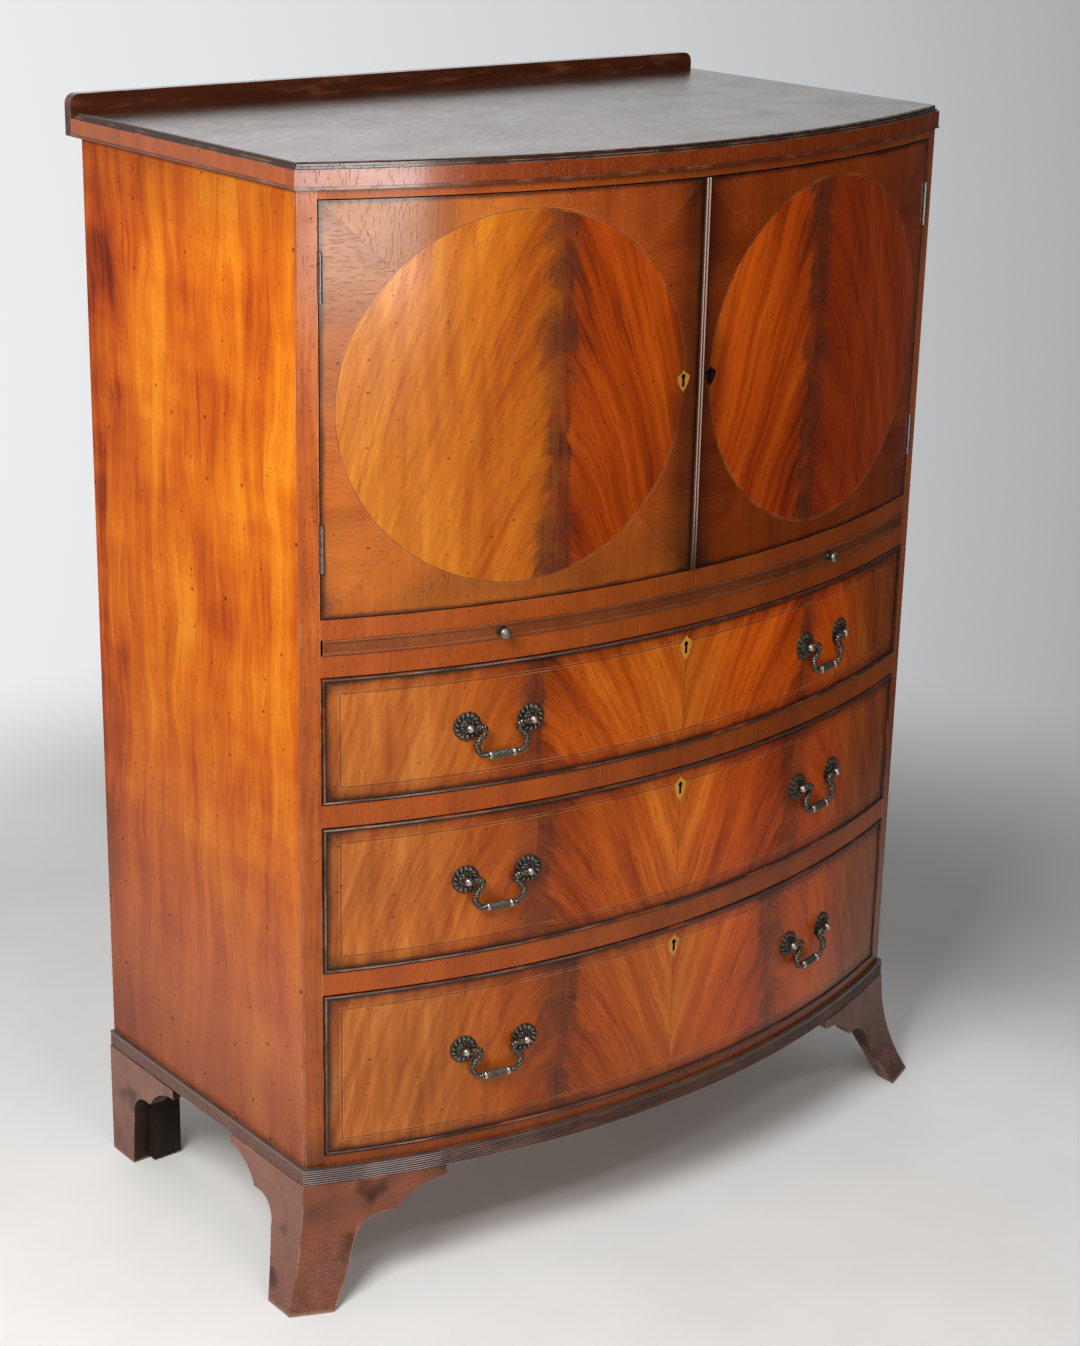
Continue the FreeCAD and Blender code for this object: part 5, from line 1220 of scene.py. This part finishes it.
def reeded_moulding(material):
    """The base moulding: six reeds and a fillet, mitred round the bow and along both sides."""
    low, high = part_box("base_moulding")
    section = moulding_section(low.z / MM)
    sculpt = Sculpt()
    bow_sweep(sculpt, section, lambda out: HALF_WIDTH + out)
    for side in ENDS:
        mitre = []
        for out, height in section:
            turn = math.asin((HALF_WIDTH + out) / (BOW_RADIUS + out)) * side
            mitre.append(bow_point(out, turn, height))
        back = [Vector((point.x, high.y, point.z)) for point in mitre]
        sculpt.add_unworn(mitre + back, len(section))
    piece = sculpt.piece("reeded_base_moulding", material)
    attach(piece, "carcass")
    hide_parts("base_moulding")


def half_sine(value):
    """0 at both ends of the range from 0 to 1, and 1 in its middle."""
    return math.sin(math.pi * min(max(value, 0.0), 1.0))


def rose_height(share, angle):
    """Height and wear of a rose at a share of its radius: gadroons, an inner swirl and a raised middle."""
    outer = half_sine((share - PETAL_START_SHARE) / PETAL_LENGTH_SHARE)
    inner = half_sine((share - SWIRL_START_SHARE) / SWIRL_LENGTH_SHARE)
    petal = abs(math.sin(ROSE_PETALS / 2 * (angle + PETAL_TWIST * (share - 0.75)))) ** 0.7
    swirl = abs(math.sin(ROSE_SWIRLS / 2 * (angle - SWIRL_TWIST * (share - 0.35)))) ** 0.8
    height = ROSE_BASE + PETAL_RISE * outer * petal + (SWIRL_BASE + SWIRL_RISE * swirl) * inner
    if share < BOSS_SHARE:
        height = max(height, BOSS_HEIGHT - BOSS_FALL * share)
    wear = 0.75 * outer * petal ** 3 + 0.6 * inner * swirl ** 3
    return height, wear


def add_rose(sculpt, place, rings=24):
    sides = ROSE_PETALS * 12
    points = []
    wear = []
    for ring in range(rings):
        share = ROSE_HOLE_SHARE + (1.0 - ROSE_HOLE_SHARE) * ring / (rings - 1)
        for side in range(sides):
            angle = FULL_TURN * side / sides
            height, rub = rose_height(share, angle)
            notch = 1 - abs(math.sin(ROSE_PETALS / 2 * (angle + SCALLOP_TURN)))
            radius = ROSE_RADIUS * share * (1.0 - SCALLOP_SHARE * notch * share ** 4)
            points.append((radius * math.cos(angle), radius * math.sin(angle), height))
            wear.append(rub)
    for x, y, height in points[-sides:]:
        points.append((x, y, ROSE_ROOT))
        wear.append(0.0)
    sculpt.add([place(*point) for point in points], wear, tube_faces(rings + 1, sides))


def add_turning(sculpt, place, outline, wear, sides=32):
    """A turned piece: rings of (radius, height, wear factor)."""
    points = []
    rubs = []
    for radius, height, rub in outline:
        for side in range(sides):
            angle = FULL_TURN * side / sides
            points.append(place(radius * math.cos(angle), radius * math.sin(angle), height))
            rubs.append(rub * wear)
    sculpt.add(points, rubs, tube_faces(len(outline), sides))


def post_outline(steps=16):
    """From the rose's middle up the neck to the ball, and round it."""
    outline = list(POST_FOOT)
    start = math.asin(NECK_RADIUS / BALL_RADIUS)
    for step in range(steps + 1):
        turn = start + (math.pi - BALL_END_ANGLE - start) * step / steps
        outline.append((BALL_RADIUS * math.sin(turn), PIVOT_OUT - BALL_RADIUS * math.cos(turn),
                        0.4 + 1.6 * step / steps))
    return outline


def handle_frame(joint):
    """The pivot of a handle, and its directions along it and out from the front."""
    along = -Vector(joint["axis"]).normalized()
    return Vector(joint["pos_m"]), along, along.cross(UP).normalized()


def post_places(joint):
    """For both posts of a handle, how its rose lies, square to the bow there, and how its post stands."""
    pivot, along, out = handle_frame(joint)
    half = HANDLE_CENTRES / 2
    sag = BOW_RADIUS - math.sqrt(BOW_RADIUS ** 2 - half ** 2)
    for end in ENDS:
        turn = Matrix.Rotation(math.asin(half * end / BOW_RADIUS), 3, UP)
        foot = pivot + along * half * end * MM - out * (PIVOT_OUT + sag) * MM
        yield placing(foot, turn @ along, UP, turn @ out), placing(foot, along, UP, out)


def handle_mounts(name, material):
    sculpt = Sculpt()
    nut = [(radius, NUT_BACK + height, rub) for radius, height, rub in NUT_OUTLINE]
    for side in SIDES:
        for rose_place, post_place in post_places(JOINTS[f"{name}_{side}_bail_hinge"]):
            add_rose(sculpt, rose_place)
            add_turning(sculpt, post_place, post_outline(), wear=0.6)
            add_turning(sculpt, post_place, nut, wear=0.4, sides=6)
    piece = sculpt.piece(f"{name}_flower_mounts", material)
    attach(piece, name)
    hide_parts(f"{name}_handle_mounts")


def arc_points(centre, radius, start, stop):
    count = max(2, round(abs(stop - start) * radius / PATH_STEP))
    for index in range(count):
        angle = start + (stop - start) * index / count
        yield centre[0] + radius * math.cos(angle), centre[1] + radius * math.sin(angle)


def line_points(start, stop):
    count = max(1, round(math.dist(start, stop) / PATH_STEP))
    for index in range(count):
        share = index / count
        yield start[0] + (stop[0] - start[0]) * share, start[1] + (stop[1] - start[1]) * share


def bail_half():
    """Half of a bail from its pin to the middle of the grip: elbow, swan neck, heel and grip."""
    swan_x = NECK_PLACE + SWAN_RADIUS * (1 - math.cos(SWAN_ANGLE))
    swan_z = -(ELBOW_RADIUS + SWAN_RADIUS * math.sin(SWAN_ANGLE))
    heel = (swan_x - HEEL_RADIUS * math.cos(SWAN_ANGLE), swan_z - HEEL_RADIUS * math.sin(SWAN_ANGLE))
    elbow = (NECK_PLACE + ELBOW_RADIUS, -ELBOW_RADIUS)
    swan = (NECK_PLACE + SWAN_RADIUS, -ELBOW_RADIUS)
    path = list(line_points((PIN_REACH, 0.0), (elbow[0], 0.0)))
    path += arc_points(elbow, ELBOW_RADIUS, QUARTER_TURN, 2 * QUARTER_TURN)
    path += arc_points(swan, SWAN_RADIUS, 2 * QUARTER_TURN, 2 * QUARTER_TURN + SWAN_ANGLE)
    path += arc_points(heel, HEEL_RADIUS, SWAN_ANGLE, -QUARTER_TURN)
    path += line_points((heel[0], heel[1] - HEEL_RADIUS), (0.0, heel[1] - HEEL_RADIUS))
    return path


def bail_radius(along, down, run, angle):
    """Radius and wear of a bail: a pin, leafy arms with raised ridges, bright collars and a woven grip."""
    half_grip = GRIP_LENGTH / 2
    if along > HANDLE_CENTRES / 2 - BALL_RADIUS - PIN_CLEARANCE and down < PIN_DEPTH:
        return PIN_RADIUS, 0.3
    if down > 2 * HEEL_RADIUS:
        collar = abs(along - half_grip)
        if collar < COLLAR_HALF:
            return COLLAR_RADIUS - COLLAR_ROUNDING * (collar / COLLAR_HALF) ** 2, 0.85
        if along < half_grip:
            belly = math.cos(QUARTER_TURN * along / half_grip * 0.8)
            weave = abs(math.sin(4 * angle + along)) * abs(math.sin(4 * angle - along))
            return (GRIP_RADIUS - GRIP_RECESS) + GRIP_BELLY * belly + WEAVE_RISE * weave, 0.85 * weave
    swell = 0.75 * math.exp(-((run - 11.0) / 3.2) ** 2) + 0.45 * math.exp(-((run - 30.0) / 9.0) ** 2)
    ridge = abs(math.sin(1.5 * angle + run * 1.05))
    scale = abs(math.sin(run * 1.45 + 0.9 * math.cos(angle)))
    leaf = ridge * scale
    return WIRE_RADIUS - RIDGE_RECESS + swell + RIDGE_RISE * ridge * scale, 0.05 + 0.95 * leaf ** 2


def bail(name, side, material, sides=48):
    pivot, along, out = handle_frame(JOINTS[f"{name}_{side}_bail_hinge"])
    place = placing(pivot, along, UP, out)
    half = bail_half()
    path = half + [(0.0, half[-1][1])] + [(-x, z) for x, z in reversed(half)]
    runs = [0.0]
    for first, second in zip(half, half[1:]):
        runs.append(runs[-1] + math.dist(first, second))
    runs = runs + [runs[-1]] + list(reversed(runs))
    points = []
    wear = []
    for index, (x, z) in enumerate(path):
        before = path[max(index - 1, 0)]
        after = path[min(index + 1, len(path) - 1)]
        heading = Vector((after[0] - before[0], 0.0, after[1] - before[1])).normalized()
        across = Vector((-heading.z, 0.0, heading.x))
        for turn in range(sides):
            angle = FULL_TURN * turn / sides
            radius, rub = bail_radius(abs(x), -z, runs[index], angle)
            spread = across * (radius * math.cos(angle))
            points.append(place(x + spread.x, z + spread.z, radius * math.sin(angle)))
            wear.append(rub)
    sculpt = Sculpt()
    sculpt.add(points, wear, tube_faces(len(path), sides))
    piece = sculpt.piece(f"{name}_{side}_swan_bail", material)
    body = f"{name}_{side}_bail"
    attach(piece, body)
    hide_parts(body)


def slide_knobs(material):
    """Two small turned knobs on the brushing slide, with a plate, a neck and a rounded head."""
    low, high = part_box("slide_knobs")
    sculpt = Sculpt()
    turn = math.asin(KNOB_REACH / BOW_RADIUS)
    for side in ENDS:
        along = Vector((math.cos(turn), math.sin(turn) * side, 0.0))
        out = Vector((math.sin(turn) * side, -math.cos(turn), 0.0))
        face = bow_point(0.0, turn * side, (low.z + high.z) / 2 / MM)
        add_turning(sculpt, placing(face, along, UP, out), KNOB_OUTLINE, wear=0.45)
    piece = sculpt.piece("slide_turned_knobs", material)
    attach(piece, "brushing_slide")
    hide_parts("slide_knobs")


def hardware():
    bronze = worn_brass()
    for name in DRAWERS:
        handle_mounts(name, bronze)
        for side in SIDES:
            bail(name, side, bronze)
    slide_knobs(bronze)


def floor_paint():
    """Pale floor, with a painted shadow that darkens it to the right, that turns clear well away from the
    cabinet.
    """
    relief = 0.001
    p = Paint("studio_floor")
    mottle = p.noise(p.x / FLOOR_MOTTLE, p.y / FLOOR_MOTTLE, 0.0, detail=5.0, roughness=0.6)
    # Painted shadow to the right
    dusk = p.smooth(*FLOOR_SHADOW_SPAN, p.x + p.y * 0.4) * 0.36
    tone = p.tint(p.ramp(mottle, FLOOR_TONES), 1.0 - dusk)
    material = p.finish(tone, mottle, 0.55 + mottle.swing(0.2), depth=relief, specular=0.3, tint=CLEAR_TINT)
    mixer = p.node("ShaderNodeMixShader")
    p.feed(p.smooth(*FLOOR_FADE_SPAN, hypotenuse(p.x, p.y)), mixer.inputs[0])
    p.link(p.shader.outputs[0], mixer.inputs[1])
    p.link(p.node("ShaderNodeBsdfTransparent").outputs[0], mixer.inputs[2])
    p.link(mixer.outputs[0], p.tree.nodes["Material Output"].inputs[0])
    return material


def floor():
    """A plain pale floor that fades into the backdrop's tone well away from the cabinet."""
    mesh = bpy.data.meshes.new("studio_floor")
    shape = bmesh.new()
    bmesh.ops.create_circle(shape, cap_ends=True, radius=FLOOR_RADIUS, segments=FLOOR_SEGMENTS)
    shape.to_mesh(mesh)
    shape.free()
    mesh.materials.append(floor_paint())
    ground = bpy.data.objects.new("studio_floor", mesh)
    ground.location.z = CAD_BOX[0][2] - FLOOR_DROP
    bpy.context.scene.collection.objects.link(ground)


def world():
    """A pale backdrop, paler to the ceiling, and a pale glow low ahead, in a room dimmest to the right."""
    room = bpy.data.worlds.new("studio")
    bpy.context.scene.world = room
    room.use_nodes = True
    sky = NodeTree(room.node_tree)
    backdrop, ceiling, dusk, glow = [sky.toward(*part) for part in ROOM.values()]
    back = sky.tree.nodes["Background"]
    back.inputs["Color"].default_value = ROOM_TINT
    sky.feed(backdrop * ceiling * dusk + glow, back.inputs["Strength"])


def direction(azimuth, elevation):
    """A direction by its angle from the front, to the right, and its angle above the level, in degrees."""
    turn = math.radians(azimuth)
    lift = math.radians(elevation)
    return Vector((math.sin(turn) * math.cos(lift), -math.cos(turn) * math.cos(lift), math.sin(lift)))


def lamp(name, azimuth, elevation, distance, width, height, watts):
    """A soft light panel aimed at the cabinet's middle."""
    light = bpy.data.lights.new(name, "AREA")
    light.shape = "RECTANGLE"
    light.energy = watts
    light.size = width
    light.size_y = height
    holder = bpy.data.objects.new(name, light)
    back = direction(azimuth, elevation)
    holder.location = UP * LAMP_AIM + back * distance
    holder.rotation_euler = (-back).to_track_quat("-Z", "Y").to_euler()
    bpy.context.scene.collection.objects.link(holder)


def camera():
    lens = bpy.data.cameras.new("camera")
    lens.sensor_fit = "VERTICAL"
    lens.sensor_height = SENSOR_MM
    lens.lens = PHOTO_FOCAL_PX / PHOTO_HEIGHT_PX * SENSOR_MM
    lens.clip_end = CAMERA_FAR_END
    holder = bpy.data.objects.new("camera", lens)
    back = direction(CAMERA_AZIMUTH, CAMERA_ELEVATION)
    right = (-back).cross(UP).normalized()
    up = right.cross(-back)
    roll = math.radians(CAMERA_ROLL)
    side = right * math.cos(roll) + up * math.sin(roll)
    head = up * math.cos(roll) - right * math.sin(roll)
    holder.matrix_world = Matrix.Translation(CAMERA_PLACE) @ Matrix((side, head, back)).transposed().to_4x4()
    bpy.context.scene.collection.objects.link(holder)
    bpy.context.scene.camera = holder


dress_fronts()
dress_cabinet()
hardware()
floor()
world()
for lamp_name, panel in LAMPS.items():
    lamp(lamp_name, *panel)
camera()
bpy.context.scene.view_settings.view_transform = "Standard"
